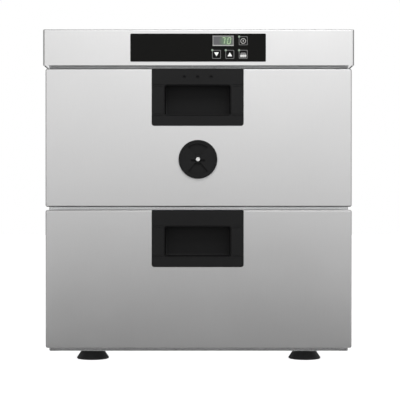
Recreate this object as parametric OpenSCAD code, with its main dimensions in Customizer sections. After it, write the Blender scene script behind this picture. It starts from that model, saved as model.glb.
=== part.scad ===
// Two-drawer countertop warming cabinet for full-size food pans.
// X runs to the right, Y to the back and Z up. The floor under the feet is z = 0,
// and the origin is the middle of the footprint. Drawer 0 is the lower one, 1 the upper.

/* [Pan] */
// Length of a pan, front to back, over its rim
pan_l = 530; // [480:1:640]
// Width of a pan over its rim
pan_w = 325; // [290:1:390]
// Depth of a pan below the top of its rim
pan_h = 150; // [120:1:180]
// Width of the flat rim round a pan
pan_rim = 12; // [10:0.5:15]
// Thickness of a pan's steel
pan_t = 0.8; // [0.6:0.1:1.2]
// How far a pan's walls lean in from rim to floor
pan_lean = 9; // [2:0.5:12]
// Radius of a pan's rim at its corners
pan_rim_r = 20; // [16:1:30]
// Radius of a pan's walls at their corners
pan_corner_r = 40; // [25:1:60]

/* [Cabinet] */
// Thickness of the outer, liner and cover sheets
sheet = 1.2; // [0.8:0.1:1.6]
// Thickness of the front frame's sheet
frame_t = 1.5; // [1:0.1:2.5]
// Thickness of each insulated side wall, skin to liner
side_wall = 50; // [30:1:80]
// Thickness of the insulated back wall, skin to liner
back_wall = 45; // [35:1:80]
// Clear space between the pan and the liner's back wall
rear_space = 27; // [22:1:80]
// Width of the flanges folded in from the side panels
flange_w = 14; // [10:1:24]
// Clearance between sheets that fit into each other
fit = 0.2; // [0.1:0.05:0.4]

/* [Top cover] */
// Height of the top cover
cover_h = 57; // [55:1:90]
// How far the top cover stands out past each side of the cabinet
cover_lip = 4; // [3:0.5:12]
// Radius of the top cover's upright corners
cover_r = 3; // [2:0.5:6]
// Height of the top cover's rear lip
rear_lip_h = 12; // [10:1:20]
// Height of the control tray's side flanges
tray_flange_h = 14; // [12:1:24]
// Height of the slots that let the electrical space breathe
vent_slot_h = 28; // [15:1:40]

/* [Drawer fronts] */
// Thickness of a drawer front, skin to backplate
front_t = 42; // [40:1:60]
// Thickness of the gasket between a front and the cabinet
gasket_t = 8; // [5:0.5:12]
// Width of the gasket's sealing strip
gasket_w = 12; // [8:1:14]
// How far a front laps over the cabinet's opening, above and below
front_lap = 20; // [18:1:30]
// Gap between the two fronts
front_gap = 5; // [3:0.5:10]
// Gap between the upper front and the top cover
cover_gap = 5.5; // [3:0.5:10]
// How far the cabinet reaches below the lower front
base_drop = 10.5; // [0:0.5:20]
// Radius of a front's corners
front_r = 3; // [2:0.5:8]

/* [Drawer frames] */
// Space under a pan, down to the opening's edge
under_pan = 18; // [16:1:40]
// Space over a pan's rim, up to the opening's edge
over_pan = 10; // [6:1:30]
// Space between the backplate and the pan's rim
pan_front_gap = 6; // [4:0.5:12]
// Space between the pan's rim and each arm
rim_gap = 11.5; // [4:0.5:20]
// Thickness of the drawer frame's steel
arm_t = 2; // [1.5:0.1:3]
// Height of the drawer frame's arms
arm_h = 60; // [56:1:90]
// How far the frame's ledge reaches under the pan's rim
ledge_under = 7; // [4:0.5:8]

/* [Slides] */
// Length of a telescopic slide, which is also the drawer's travel
slide_l = 500; // [350:5:510]
// Thickness of a slide, wall to arm
slide_t = 16; // [13:0.5:22]
// Height of a slide
slide_h = 50; // [35:1:52]
// Thickness of the slide's steel
slide_steel = 1.6; // [1.2:0.1:2]
// Running gap between the members of a slide
run_gap = 0.5; // [0.3:0.05:0.8]

/* [Handles] */
// Width of a handle insert
handle_w = 145; // [130:1:180]
// Height of a handle insert, down from the front's top edge
handle_h = 90; // [86:1:110]
// Width of the hand hole
grip_w = 106; // [90:1:110]
// Height of the hand hole
grip_h = 49; // [40:1:52]
// Height of the band above the hand hole
grip_top = 25; // [20:1:30]
// How far the pocket reaches up behind that band
grip_hook = 14; // [8:1:16]
// Depth of the pocket behind the face
grip_depth = 33.5; // [28:0.5:34]
// Thickness of the pocket's walls
handle_wall = 2.5; // [1.5:0.1:3]
// Thickness of the insert's face plate behind the skin's face
handle_plate = 5; // [3:0.5:7]
// How far the insert stands proud of the skin
handle_proud = 0.6; // [0.2:0.1:1.5]
// Sideways place of the inserts on the fronts
handle_x = -1.5; // [-20:0.5:20]

/* [Vent] */
// Diameter of the vent dial
dial_d = 61; // [54:0.5:70]
// Thickness of the dial's disc
dial_t = 4; // [3:0.1:6]
// Height of the rim and grip bar on the dial
dial_raise = 1.2; // [0.6:0.1:2.5]
// Outer radius of the openings in the dial
dial_slot_r = 25; // [23.5:0.1:26]
// Outer diameter of the vent's duct
duct_d = 48; // [40:0.5:50]
// Place of the dial's centre below the upper front's top edge
vent_drop = 143; // [130:0.5:150]
// Sideways place of the vent on the upper front
vent_x = -1; // [-20:0.5:20]
// Radius of the pin that the dial turns on
pin_r = 2; // [1.5:0.1:2.5]
// Running clearance round that pin
pin_gap = 0.08; // [0.03:0.01:0.1]
// Half the angle of each opening in the vent
vent_half_angle = 40; // [25:1:42]

/* [Control panel] */
// Width of the fascia
fascia_w = 214; // [190:0.2:260]
// Height of the fascia
fascia_h = 44.2; // [43.8:0.2:46]
// Distance from the cover's top down to the fascia
fascia_drop = 7; // [4:0.1:9]
// Sideways place of the fascia on the cover
fascia_x = -0.8; // [-10:0.2:10]
// How far the fascia stands proud of the cover
fascia_proud = 1; // [0.5:0.1:2]
// Side of a key
key_w = 12; // [10:0.1:13]
// Pitch of the keys, sideways
key_pitch = 21.1; // [19:0.1:24]
// Place of the key rows above and below the fascia's middle
key_row = 10.7; // [9.5:0.1:11]
// Place of the right-hand key column from the fascia's middle
key_right_x = 71.2; // [60:0.2:84]
// Travel of a key
key_travel = 0.5; // [0.3:0.05:1]
// Gap round a key
key_gap = 0.25; // [0.15:0.05:0.4]
// Width of the display window
display_w = 33.1; // [28:0.1:36]
// Height of the display window
display_h = 16.1; // [14:0.1:18]
// Radius of an indicator light
led_r = 1.25; // [0.8:0.05:1.3]

/* [Feet and gland] */
// Height of the cabinet above the floor
foot_h = 17.5; // [12:0.5:40]
// Widest radius of a foot
foot_r = 26.6; // [22:0.2:32]
// Radius of a foot's neck
foot_neck_r = 12.5; // [10.5:0.5:15]
// Distance from a foot's middle to the cabinet's side
foot_side_inset = 67; // [45:1:100]
// Distance from a foot's middle to the cabinet's front and back
foot_end_inset = 45; // [35:1:90]
// Radius of the gland's bore, which the supply cord passes through
gland_bore_r = 4.5; // [3:0.1:5.5]
// How far the gland stands out behind the cabinet
gland_reach = 18; // [12:0.5:30]
// Distance of the gland from the cabinet's middle
gland_x = 165; // [60:1:185]

/* [Hidden] */
$fn = 64;
LOWER = 0;
UPPER = 1;
// How far a cutting shape reaches past what it cuts, and how far joined shapes overlap
cut = 5;
join = 1;

// Sheet-metal screws, used on the panels and the drawer frames
screw_r = 1.9;
screw_l = 7;
screw_head_r = 3.6;
screw_head_h = 1.8;
screw_hole_r = screw_r + 0.2;

// Widths, built outwards from the pan
arm_x = pan_w / 2 + rim_gap + arm_t;
cavity_w = 2 * (arm_x + slide_t);
body_w = cavity_w + 2 * side_wall;
inner_w = body_w - 2 * (sheet + fit);
cover_w = body_w + 2 * cover_lip;
tray_w = cover_w - 2 * (sheet + fit);

// Heights
opening_h = under_pan + pan_h + over_pan;
front_h = opening_h + 2 * front_lap;
function front_z(i) = foot_h + base_drop + i * (front_h + front_gap);
function opening_z(i) = front_z(i) + front_lap;
function rim_z(i) = opening_z(i) + under_pan + pan_h;
function ledge_z(i) = rim_z(i) - pan_t;
function slide_z(i) = ledge_z(i) - arm_h / 2;
cavity_z0 = opening_z(LOWER);
cavity_z1 = opening_z(UPPER) + opening_h;
cover_z = front_z(UPPER) + front_h + cover_gap;
cover_top = cover_z + cover_h;
tray_top = cover_z + sheet;

// Depths: the vent's screw head in front and the gland behind are the two ends
// of the whole object, and the origin is midway between them
dial_gap = 0.3;
vent_flange_t = 1;
screw_gap = 0.1;
pin_head_h = 1.4;
front_reach = vent_flange_t + dial_gap + dial_t + dial_raise + screw_gap + pin_head_h;
overhang = front_t + gasket_t;
body_d = pan_front_gap - gasket_t + pan_l + rear_space + back_wall;
whole_d = front_reach + overhang + body_d + gland_reach;
face_y = front_reach - whole_d / 2;
front_back_y = face_y + front_t;
frame_y = face_y + overhang;
liner_y0 = frame_y + frame_t;
back_y = frame_y + body_d;
liner_y1 = back_y - back_wall;
pan_y0 = front_back_y + pan_front_gap;
pan_y1 = pan_y0 + pan_l;
pan_rear_gap = 3;
slide_y0 = liner_y0 + 1;
tray_y = face_y + sheet + fit;
tray_back_y = back_y - sheet - fit;
tray_flange_inset = 20;
vent_slots = 5;
vent_slot_pitch = 10;
vent_slot_w = 3;
vent_slot_z = cover_z + 8;

// Insulation slabs, and the spaces in them for the foot nuts and the tails in the back wall
slab_gap = 0.3;
slab_end_gap = 0.5;
nut_space_r = 8;
nut_space_h = 20;
tail_space = 2;
tail_end_space = 5;

// Control panel
fascia_z = cover_top - fascia_drop - fascia_h / 2;
fascia_r = 1.5;
fascia_border = 2;
fascia_plug_r = 1;
fascia_plug_w = fascia_w - 2 * fascia_border;
fascia_plug_h = fascia_h - 2 * fascia_border;
fascia_back_y = face_y + sheet + 1;
window_proud = 0.2;
display_x = key_right_x - 1.5 * key_pitch;
board_y = face_y + 12;
board_t = 1.6;
board_h = fascia_plug_h - 1;
standoff_r = 3;
standoff_x = fascia_w / 2 + standoff_r + 1;
standoff_z = 12;
board_w = 2 * (standoff_x + standoff_r + 2);
board_part = [40, 24, 12];
board_part_x = -50;
module_gap = 0.5;
module_inset = 2;
switch_w = 6;
switch_h = 4.3;
switch_cap_r = 1.7;
switch_cap_h = 0.8;
key_r = 2;
key_proud = 0.3;
key_collar = 0.9;
key_collar_gap = 0.15;
key_collar_t = 1;
key_stem_r = 2;
key_end_gap = 0.05;
led_offset = key_w / 2 + 0.8;
led_gap = 0.1;
led_proud = 0.2;
led_space = 0.3;
POWER_KEY = [key_right_x, key_row];
DOWN_KEY = [key_right_x - 2 * key_pitch, -key_row];
UP_KEY = [key_right_x - key_pitch, -key_row];
FUNCTION_KEY = [key_right_x, -key_row];
KEYS = [POWER_KEY, DOWN_KEY, UP_KEY, FUNCTION_KEY];

// Handles, measured down from a front's top edge
handle_r = 3;
grip_r = 4;
grip_box_w = grip_w + 2 * handle_wall;
grip_box_h = grip_h + grip_hook + 2 * handle_wall;
function front_top(i) = front_z(i) + front_h;
function grip_z(i) = front_top(i) - grip_top - grip_h / 2;

// Vent
vent_z = front_top(UPPER) - vent_drop;
duct_r = duct_d / 2;
duct_wall = 2;
duct_gap = 0.3;
vent_flange_w = 4;
vent_plate_t = 1.5;
vent_slot_r0 = 8;
vent_slot_edge = 0.5;
hub_r = 5.5;
hub_l = 14;
pin_hole_gap = 0.05;
pin_hole_l = 12;
pin_l = 10;
pin_head_r = 3.55;
dial_rim = 2.4;
dial_bar = [22, 4.5];
dial_y = face_y - vent_flange_t - dial_gap;
dial_front_y = dial_y - dial_t - dial_raise;

// Heater, a tube bent into an M on the cavity's floor
heater_r = 4.25;
heater_lift = 6.5;
heater_outer_x = 140;
heater_inner_x = 50;
heater_z = cavity_z0 + heater_lift;
heater_front_y = frame_y + 80;
heater_rear_y = liner_y1 - 90;
heater_tail = 18;
clip_inset = 60;
clip_w = 16;
clip_l = 8;
clip_t = 1;
clip_gap = 0.15;

// Probe between the two drawers' levels
probe_x = 60;
probe_z = front_z(UPPER) - front_gap / 2;
probe_r = 3;
probe_reach = 60;
probe_tail = 30;
probe_hex_r = 7;
probe_hex_h = 5;

// Feet
foot_top_z = foot_h + sheet;
foot_lip = 1.6;
foot_neck_h = 2.5;
foot_bore_r = 3.2;
foot_recess_r = 7;
foot_recess_h = 8;
foot_x = body_w / 2 - foot_side_inset;
FOOT_Y = [frame_y + foot_end_inset, back_y - foot_end_inset];
foot_screw_r = 3;
foot_screw_head_r = 5.2;
foot_screw_head_h = 4;
foot_screw_end = 6;
foot_nut_r = 5.8;
foot_nut_h = 5;
foot_nut_gap = 0.05;

// Gland, in the control tray's rear wall
gland_z = cover_z + 24;
gland_thread_r = 8;
gland_hex_r = 12.5;
gland_hex_h = 6;
gland_nut_h = 5;
gland_gap = 0.1;
gland_inner_l = 10;
gland_dome_r = 10;
gland_tip_r = 8.5;
gland_tip_l = 3;

// Electrical parts on the tray: where each one's middle is, and its sizes
RELAY_AT = [40, face_y + 260, tray_top];
SINK = [60, 70, 6];
sink_fins = 7;
sink_fin = [3, 12];
RELAY = [45, 58, 22];
TRANSFORMER_AT = [-110, face_y + 260, tray_top];
CORE = [56, 40, 46];
BOBBIN = [34, 60, 28];
bobbin_lift = 10;
CORE_FOOT = [84, 30, 2];
THERMOSTAT_AT = [-170, back_y - 110, tray_top];
THERMOSTAT = [50, 36, 24];
cutout_r = 11;
cutout_h = 6;
button_r = 4;
button_h = 5;
TERMINALS_AT = [gland_x, back_y - 90, tray_top];
TERMINALS = [64, 22, 20];
terminal_pitch = 12;
terminal_r = 3;
terminal_h = 8;

// Slides
slide_step = slide_steel + run_gap;
wall_x = cavity_w / 2;
slide_arm_gap = 1;

// Gaskets
gasket_inset = 5;
gasket_r = 16;

// Screw places
back_screw_rows = 4;
back_screw_margin = 25;
back_screw_pitch = (cover_z - foot_h - 2 * back_screw_margin) / (back_screw_rows - 1);
BACK_SCREW_Z = [for (k = [0 : back_screw_rows - 1]) foot_h + back_screw_margin + k * back_screw_pitch];
back_screw_x = body_w / 2 - sheet - flange_w / 2;
SIDE_SCREW_Y = [face_y + 150, back_y - 100];
side_screw_z = cover_z + tray_flange_h / 2;
LIP_SCREW_X = [-180, 0, 180];
lip_screw_z = cover_top - rear_lip_h / 2;
drawer_screw_x = 150;
DRAWER_SCREW_X = [-1, -0.6, 0.6, 1] * drawer_screw_x;
function drawer_screw_z(i) = ledge_z(i) - arm_h / 2;

// ---------------------------------------------------------------- helpers

// A box from one corner to the other
module block(x0, x1, y0, y1, z0, z1)
    translate([x0, y0, z0]) cube([x1 - x0, y1 - y0, z1 - z0]);

// A box that is centred on X
module centred_block(w, y0, y1, z0, z1)
    block(-w / 2, w / 2, y0, y1, z0, z1);

// A flat outline drawn in X and Z, with its front face at y0, made t thick
module upright(y0, t)
    translate([0, y0 + t, 0]) rotate([90, 0, 0]) linear_extrude(t) children();

// A round bar along Y
module bar_y(r, y0, y1)
    translate([0, y1, 0]) rotate([90, 0, 0]) cylinder(r = r, h = y1 - y0);

module rounded_rect(w, h, r) {
    square([w - 2 * r, h], center = true);
    square([w, h - 2 * r], center = true);
    for (x = [-1, 1], y = [-1, 1])
        translate([x * (w / 2 - r), y * (h / 2 - r)]) circle(r);
}

// A box of the given size that stands on Z = 0, centred on X and Y
module standing(size)
    translate([-size[0] / 2, -size[1] / 2, 0]) cube(size);

// A screw along Y whose head is in front of y and whose shank runs back from it
module screw_y(y) {
    bar_y(screw_head_r, y - screw_head_h, y);
    bar_y(screw_r, y - screw_head_h / 2, y + screw_l);
}

// Both sides of the cabinet, from the shape on the right
module both_sides() {
    children();
    mirror([1, 0, 0]) children();
}

// ---------------------------------------------------------------- cabinet

// Side skin with flanges folded in at the top, bottom and back
module side_panel() color("gainsboro") difference() {
    x1 = body_w / 2;
    x0 = x1 - flange_w;
    union() {
        block(x1 - sheet, x1, frame_y, back_y, foot_h, cover_z);
        block(x0, x1, liner_y0 + fit, back_y - sheet, cover_z - sheet, cover_z);
        block(x0, x1, liner_y0 + fit, back_y - sheet, foot_h, foot_top_z);
        block(x0, x1, back_y - 2 * sheet, back_y - sheet, foot_h, cover_z);
    }
    for (z = BACK_SCREW_Z)
        translate([back_screw_x, 0, z]) bar_y(screw_hole_r, back_y - cut, back_y);
}

module back_panel() color("lightgray") difference() {
    centred_block(inner_w, back_y - sheet, back_y, foot_h, cover_z - fit);
    for (x = [-back_screw_x, back_screw_x], z = BACK_SCREW_Z)
        translate([x, 0, z]) bar_y(screw_hole_r, back_y - cut, back_y + cut);
}

// Floor plate that lies on the side panels' lower flanges
module base_panel() color("lightgray") difference() {
    centred_block(inner_w, liner_y0 + fit, back_y - 2 * sheet - fit, foot_top_z, foot_top_z + sheet);
    for (x = [-foot_x, foot_x], y = FOOT_Y)
        translate([x, y, foot_h]) cylinder(r = foot_bore_r, h = 2 * cut);
}

// Sheet with the two drawer openings, which the gaskets seal on
module front_frame() color("silver") difference() {
    centred_block(inner_w, frame_y, liner_y0, foot_h, cover_z - fit);
    for (i = [LOWER, UPPER])
        centred_block(cavity_w, frame_y - cut, liner_y0 + cut, opening_z(i), opening_z(i) + opening_h);
}

// Folded lid with skirts at the front and sides and a short lip at the back
module top_cover() color("gainsboro") difference() {
    cover_d = back_y - face_y;
    mid_y = (face_y + back_y) / 2;
    translate([0, mid_y, cover_z]) linear_extrude(cover_h) rounded_rect(cover_w, cover_d, cover_r);
    translate([0, mid_y, cover_z - cut]) linear_extrude(cover_h + cut - sheet)
        rounded_rect(cover_w - 2 * sheet, cover_d - 2 * sheet, cover_r - sheet);
    centred_block(cover_w - 2 * (sheet + cover_r), back_y - 2 * sheet, back_y + cut,
        cover_z - cut, cover_top - rear_lip_h);
    at_fascia([0, 0]) upright(face_y - cut, sheet + 2 * cut)
        rounded_rect(fascia_plug_w + 2 * fit, fascia_plug_h + 2 * fit, fascia_plug_r + fit);
    for (y = SIDE_SCREW_Y)
        translate([-cover_w, y, side_screw_z]) rotate([0, 90, 0]) cylinder(r = screw_hole_r, h = 2 * cover_w);
    for (x = LIP_SCREW_X)
        translate([x, 0, lip_screw_z]) bar_y(screw_hole_r, back_y - cut, back_y + cut);
}

// Floor and rear wall of the electrical space under the top cover
module control_tray() color("darkgray") difference() {
    x1 = tray_w / 2;
    union() {
        translate([0, (tray_y + tray_back_y) / 2, cover_z]) linear_extrude(sheet)
            rounded_rect(tray_w, tray_back_y - tray_y, cover_r);
        both_sides() block(x1 - sheet, x1, tray_y + tray_flange_inset, tray_back_y - cover_r,
            cover_z, cover_z + tray_flange_h);
        centred_block(tray_w - 2 * cover_r, tray_back_y - sheet, tray_back_y, cover_z, cover_top - sheet - fit);
    }
    translate([gland_x, 0, gland_z]) bar_y(gland_thread_r + gland_gap, tray_back_y - cut, back_y);
    for (k = [-vent_slots : vent_slots])
        translate([k * vent_slot_pitch, 0, 0])
            centred_block(vent_slot_w, tray_back_y - cut, back_y, vent_slot_z, vent_slot_z + vent_slot_h);
    for (y = SIDE_SCREW_Y)
        translate([-cover_w, y, side_screw_z]) rotate([0, 90, 0]) cylinder(r = screw_hole_r, h = 2 * cover_w);
    for (x = LIP_SCREW_X)
        translate([x, 0, lip_screw_z]) bar_y(screw_hole_r, tray_back_y - cut, back_y);
}

module liner_side_walls() color("silver") both_sides()
    block(cavity_w / 2, cavity_w / 2 + sheet, liner_y0, liner_y1, cavity_z0 - sheet, cavity_z1 + sheet);

module liner_back_wall() color("silver") difference() {
    centred_block(cavity_w + 2 * sheet, liner_y1, liner_y1 + sheet, cavity_z0 - sheet, cavity_z1 + sheet);
    for (x = [-heater_outer_x, heater_outer_x])
        translate([x, 0, heater_z]) bar_y(heater_r + fit, liner_y1 - cut, liner_y1 + cut);
    translate([probe_x, 0, probe_z]) bar_y(probe_r + fit, liner_y1 - cut, liner_y1 + cut);
}

module liner_ceiling() color("silver")
    centred_block(cavity_w, liner_y0, liner_y1, cavity_z1, cavity_z1 + sheet);

module liner_floor() color("silver")
    centred_block(cavity_w, liner_y0, liner_y1, cavity_z0 - sheet, cavity_z0);

// Mineral-wool slabs round the liner: two sides, top, base and back
module cabinet_insulation() color("khaki") {
    y0 = liner_y0 + slab_gap;
    y1 = back_y - screw_l - join;
    x0 = cavity_w / 2 + sheet + slab_gap;
    z0 = foot_top_z + sheet + slab_gap;
    z1 = cover_z - sheet - slab_gap;
    slab_w = 2 * (x0 - slab_end_gap);
    both_sides() block(x0, body_w / 2 - sheet - slab_gap, y0, y1, z0, z1);
    centred_block(slab_w, y0, y1, cavity_z1 + sheet + slab_gap, z1);
    difference() {
        centred_block(slab_w, y0, y1, z0, cavity_z0 - sheet - slab_gap);
        for (x = [-foot_x, foot_x], y = FOOT_Y)
            translate([x, y, foot_h]) cylinder(r = nut_space_r, h = nut_space_h);
    }
    difference() {
        centred_block(slab_w, liner_y1 + sheet + slab_gap, y1, cavity_z0 - sheet, cavity_z1 + sheet);
        for (x = [-heater_outer_x, heater_outer_x])
            translate([x, 0, heater_z])
                bar_y(heater_r + tail_space, liner_y1, liner_y1 + heater_tail + tail_end_space);
        translate([probe_x, 0, probe_z])
            bar_y(probe_r + tail_space, liner_y1, liner_y1 + probe_tail + tail_end_space);
    }
}

// One tube: out of the back wall, forward, twice round and back out
module heater_element() color("dimgray") {
    bend = (heater_outer_x - heater_inner_x) / 2;
    mid_x = heater_inner_x + bend;
    translate([0, 0, heater_z]) {
        both_sides() {
            translate([heater_outer_x, 0, 0]) bar_y(heater_r, heater_front_y, liner_y1 + heater_tail);
            translate([heater_inner_x, 0, 0]) bar_y(heater_r, heater_front_y, heater_rear_y);
            translate([mid_x, heater_front_y, 0]) rotate([0, 0, 180])
                rotate_extrude(angle = 180) translate([bend, 0]) circle(heater_r);
        }
        translate([0, heater_rear_y, 0])
            rotate_extrude(angle = 180) translate([heater_inner_x, 0]) circle(heater_r);
    }
}

// Saddles that hold the heater on the cavity's floor
module heater_clips() color("silver") both_sides()
    for (x = [heater_inner_x, heater_outer_x], y = [heater_front_y + clip_inset, heater_rear_y - clip_inset])
        translate([x, 0, 0]) difference() {
            centred_block(clip_w, y, y + clip_l, cavity_z0, heater_z + heater_r + clip_t);
            translate([0, 0, heater_z]) bar_y(heater_r + clip_gap, y - cut, y + clip_l + cut);
        }

// Thermometer pocket with the hexagon that holds it in the liner
module cavity_probe() color("silver") translate([probe_x, 0, probe_z]) {
    bar_y(probe_r, liner_y1 - probe_reach, liner_y1 + probe_tail);
    translate([0, liner_y1, 0]) rotate([90, 0, 0]) cylinder(r = probe_hex_r, h = probe_hex_h, $fn = 6);
}

// ---------------------------------------------------------------- control panel

module at_fascia(p) translate([fascia_x + p[0], 0, fascia_z + p[1]]) children();

module fascia_panel() color([0.09, 0.09, 0.085]) difference() {
    union() {
        at_fascia([0, 0]) upright(face_y - fascia_proud, fascia_proud)
            rounded_rect(fascia_w, fascia_h, fascia_r);
        at_fascia([0, 0]) upright(face_y, fascia_back_y - face_y)
            rounded_rect(fascia_plug_w, fascia_plug_h, fascia_plug_r);
    }
    at_fascia([display_x, key_row]) upright(face_y - cut, 2 * cut)
        square([display_w + 2 * fit, display_h + 2 * fit], center = true);
    for (p = KEYS) {
        at_fascia(p) upright(face_y - cut, 2 * cut)
            rounded_rect(key_w + 2 * key_gap, key_w + 2 * key_gap, key_r + key_gap);
        at_fascia(p + [-led_offset, led_offset]) bar_y(led_r + led_gap, face_y - cut, face_y + cut);
    }
}

module display_window() color([0.4, 0.42, 0.4]) at_fascia([display_x, key_row])
    upright(face_y - fascia_proud - window_proud, fascia_proud + window_proud + fascia_back_y - face_y)
        square([display_w, display_h], center = true);

module display_module() color([0.15, 0.2, 0.15])
    at_fascia([display_x, key_row]) upright(fascia_back_y + module_gap, board_y - fascia_back_y - module_gap)
        square([display_w - 2 * module_inset, display_h - 2 * module_inset], center = true);

// Circuit board with one push switch behind each key
module control_board() color("darkgreen") union() {
    at_fascia([0, 0]) upright(board_y, board_t) square([board_w, board_h], center = true);
    for (p = KEYS) at_fascia(p) {
        upright(board_y - switch_h + switch_cap_h, switch_h) square([switch_w, switch_w], center = true);
        bar_y(switch_cap_r, board_y - switch_h, board_y);
    }
    at_fascia([board_part_x, 0]) upright(board_y + board_t / 2, board_part[2])
        square([board_part[0], board_part[1]], center = true);
}

module board_standoffs() color("silver")
    for (x = [-standoff_x, standoff_x], z = [-standoff_z, standoff_z])
        at_fascia([x, z]) bar_y(standoff_r, face_y + sheet, board_y);

// Light pipes that stand on the board and show beside each key
module indicator_lights() color("palegreen")
    for (p = KEYS) at_fascia(p + [-led_offset, led_offset])
        bar_y(led_r, face_y - fascia_proud - led_proud, board_y);

// Key cap with the collar that holds it behind the fascia and its stem
module key(p) color([0.12, 0.12, 0.12]) difference() {
    collar = key_w + 2 * key_collar;
    collar_y = fascia_back_y + key_collar_gap;
    cap_y = face_y - fascia_proud - key_proud;
    at_fascia(p) {
        upright(cap_y, collar_y + key_collar_t / 2 - cap_y) rounded_rect(key_w, key_w, key_r);
        upright(collar_y, key_collar_t) rounded_rect(collar, collar, key_r);
        bar_y(key_stem_r, collar_y + key_collar_t / 2, board_y - switch_h - key_travel - key_end_gap);
    }
    at_fascia(p + [-led_offset, led_offset]) bar_y(led_r + led_space, fascia_back_y, fascia_back_y + cut);
}

module power_key() key(POWER_KEY);
module down_key() key(DOWN_KEY);
module up_key() key(UP_KEY);
module function_key() key(FUNCTION_KEY);

// ---------------------------------------------------------------- electrical space

// Solid-state relay on its finned heat sink
module power_relay() color("dimgray") translate(RELAY_AT) {
    fin_pitch = (SINK[0] - sink_fin[0]) / (sink_fins - 1);
    standing(SINK);
    for (k = [0 : sink_fins - 1])
        translate([(k - (sink_fins - 1) / 2) * fin_pitch, 0, 0])
            standing([sink_fin[0], SINK[1], SINK[2] + sink_fin[1]]);
    translate([0, 0, SINK[2] + sink_fin[1] - join]) standing(RELAY);
}

// Laminated core with a bobbin and two mounting feet
module transformer() color("peru") translate(TRANSFORMER_AT) {
    standing(CORE);
    translate([0, 0, bobbin_lift]) standing(BOBBIN);
    standing(CORE_FOOT);
}

// Over-temperature cut-out with its reset button
module safety_thermostat() color("ivory") translate(THERMOSTAT_AT) {
    standing(THERMOSTAT);
    translate([0, 0, THERMOSTAT[2] - join]) {
        cylinder(r = cutout_r, h = join + cutout_h);
        cylinder(r = button_r, h = join + cutout_h + button_h);
    }
}

// Mains terminals in a row, behind the gland
module terminal_block() color("beige") translate(TERMINALS_AT) difference() {
    standing(TERMINALS);
    for (k = [-2:2])
        translate([k * terminal_pitch, 0, TERMINALS[2] - terminal_h])
            cylinder(r = terminal_r, h = terminal_h + cut);
}

// Gland body: thread through the wall, hexagon, and the clamping dome
module cable_gland() color("black") translate([gland_x, 0, gland_z]) difference() {
    outer_l = back_y + gland_reach - tray_back_y;
    union() {
        bar_y(gland_thread_r, tray_back_y - sheet - gland_inner_l, tray_back_y + join);
        translate([0, tray_back_y + gland_hex_h, 0]) rotate([90, 0, 0])
            cylinder(r = gland_hex_r, h = gland_hex_h, $fn = 6);
        bar_y(gland_dome_r, tray_back_y + gland_hex_h - join, tray_back_y + outer_l - gland_tip_l);
        bar_y(gland_tip_r, tray_back_y + outer_l - gland_tip_l - join, tray_back_y + outer_l);
    }
    bar_y(gland_bore_r, tray_back_y - sheet - gland_inner_l - cut, back_y + gland_reach + cut);
}

module gland_nut() color("black") translate([gland_x, tray_back_y - sheet, gland_z])
    rotate([90, 0, 0]) difference() {
        cylinder(r = gland_hex_r, h = gland_nut_h, $fn = 6);
        translate([0, 0, -cut]) cylinder(r = gland_thread_r + gland_gap, h = gland_nut_h + 2 * cut);
    }

// ---------------------------------------------------------------- feet and screws

// Moulded cone with a short neck and a rounded lip, with a recess for its screw
module feet() color([0.08, 0.08, 0.08])
    for (x = [-foot_x, foot_x], y = FOOT_Y) translate([x, y, 0]) rotate_extrude() {
        lip_x = foot_r - foot_lip;
        translate([lip_x, foot_lip]) circle(foot_lip);
        polygon([[foot_bore_r, foot_recess_h], [foot_recess_r, foot_recess_h], [foot_recess_r, 0],
            [lip_x, 0], [lip_x + foot_lip * cos(45), foot_lip * (1 + sin(45))],
            [foot_neck_r, foot_h - foot_neck_h], [foot_neck_r, foot_top_z], [foot_bore_r, foot_top_z]]);
    }

// Machine screws up through the feet, each with its nut on the base panel
module foot_screws() color("silver") {
    nut_z = foot_top_z + sheet;
    for (x = [-foot_x, foot_x], y = FOOT_Y) translate([x, y, 0]) {
        translate([0, 0, foot_recess_h - foot_screw_head_h])
            cylinder(r = foot_screw_head_r, h = foot_screw_head_h);
        translate([0, 0, foot_recess_h - join])
            cylinder(r = foot_screw_r, h = nut_z + foot_screw_end + join - foot_recess_h);
        translate([0, 0, nut_z]) difference() {
            cylinder(r = foot_nut_r, h = foot_nut_h, $fn = 6);
            translate([0, 0, -cut]) cylinder(r = foot_screw_r + foot_nut_gap, h = foot_nut_h + 2 * cut);
        }
    }
}

module cover_screws() color("silver") {
    for (y = SIDE_SCREW_Y) both_sides()
        translate([cover_w / 2, y, side_screw_z]) rotate([0, 0, 90]) screw_y(0);
    for (x = LIP_SCREW_X)
        translate([x, back_y, lip_screw_z]) mirror([0, 1, 0]) screw_y(0);
}

module back_screws() color("silver")
    for (x = [-back_screw_x, back_screw_x], z = BACK_SCREW_Z)
        translate([x, back_y, z]) mirror([0, 1, 0]) screw_y(0);

// ---------------------------------------------------------------- slides

// Channel of half-height hh, with its web from web_x0 and its lips from x0 to x1
module channel(x0, x1, web_x0, hh) {
    translate([web_x0, -hh]) square([slide_steel, 2 * hh]);
    for (z = [-hh, hh - slide_steel]) translate([x0, z]) square([x1 - x0, slide_steel]);
}

module slide_member(i) translate([0, 0, slide_z(i)]) both_sides() upright(slide_y0, slide_l) children();

module slide_outers(i) color("lightsteelblue") slide_member(i)
    channel(arm_x + slide_arm_gap, wall_x, wall_x - slide_steel, slide_h / 2);

module slide_middles(i) color("steelblue") slide_member(i)
    channel(arm_x + slide_arm_gap, wall_x - slide_step, wall_x - slide_step - slide_steel,
        slide_h / 2 - slide_step);

module slide_inners(i) color("lightsteelblue") slide_member(i)
    channel(arm_x, wall_x - 2 * slide_step, arm_x, slide_h / 2 - 2 * slide_step);

// ---------------------------------------------------------------- drawers

module at_front(i) translate([0, 0, front_z(i) + front_h / 2]) children();

module at_vent() translate([vent_x, 0, vent_z]) children();

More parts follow.
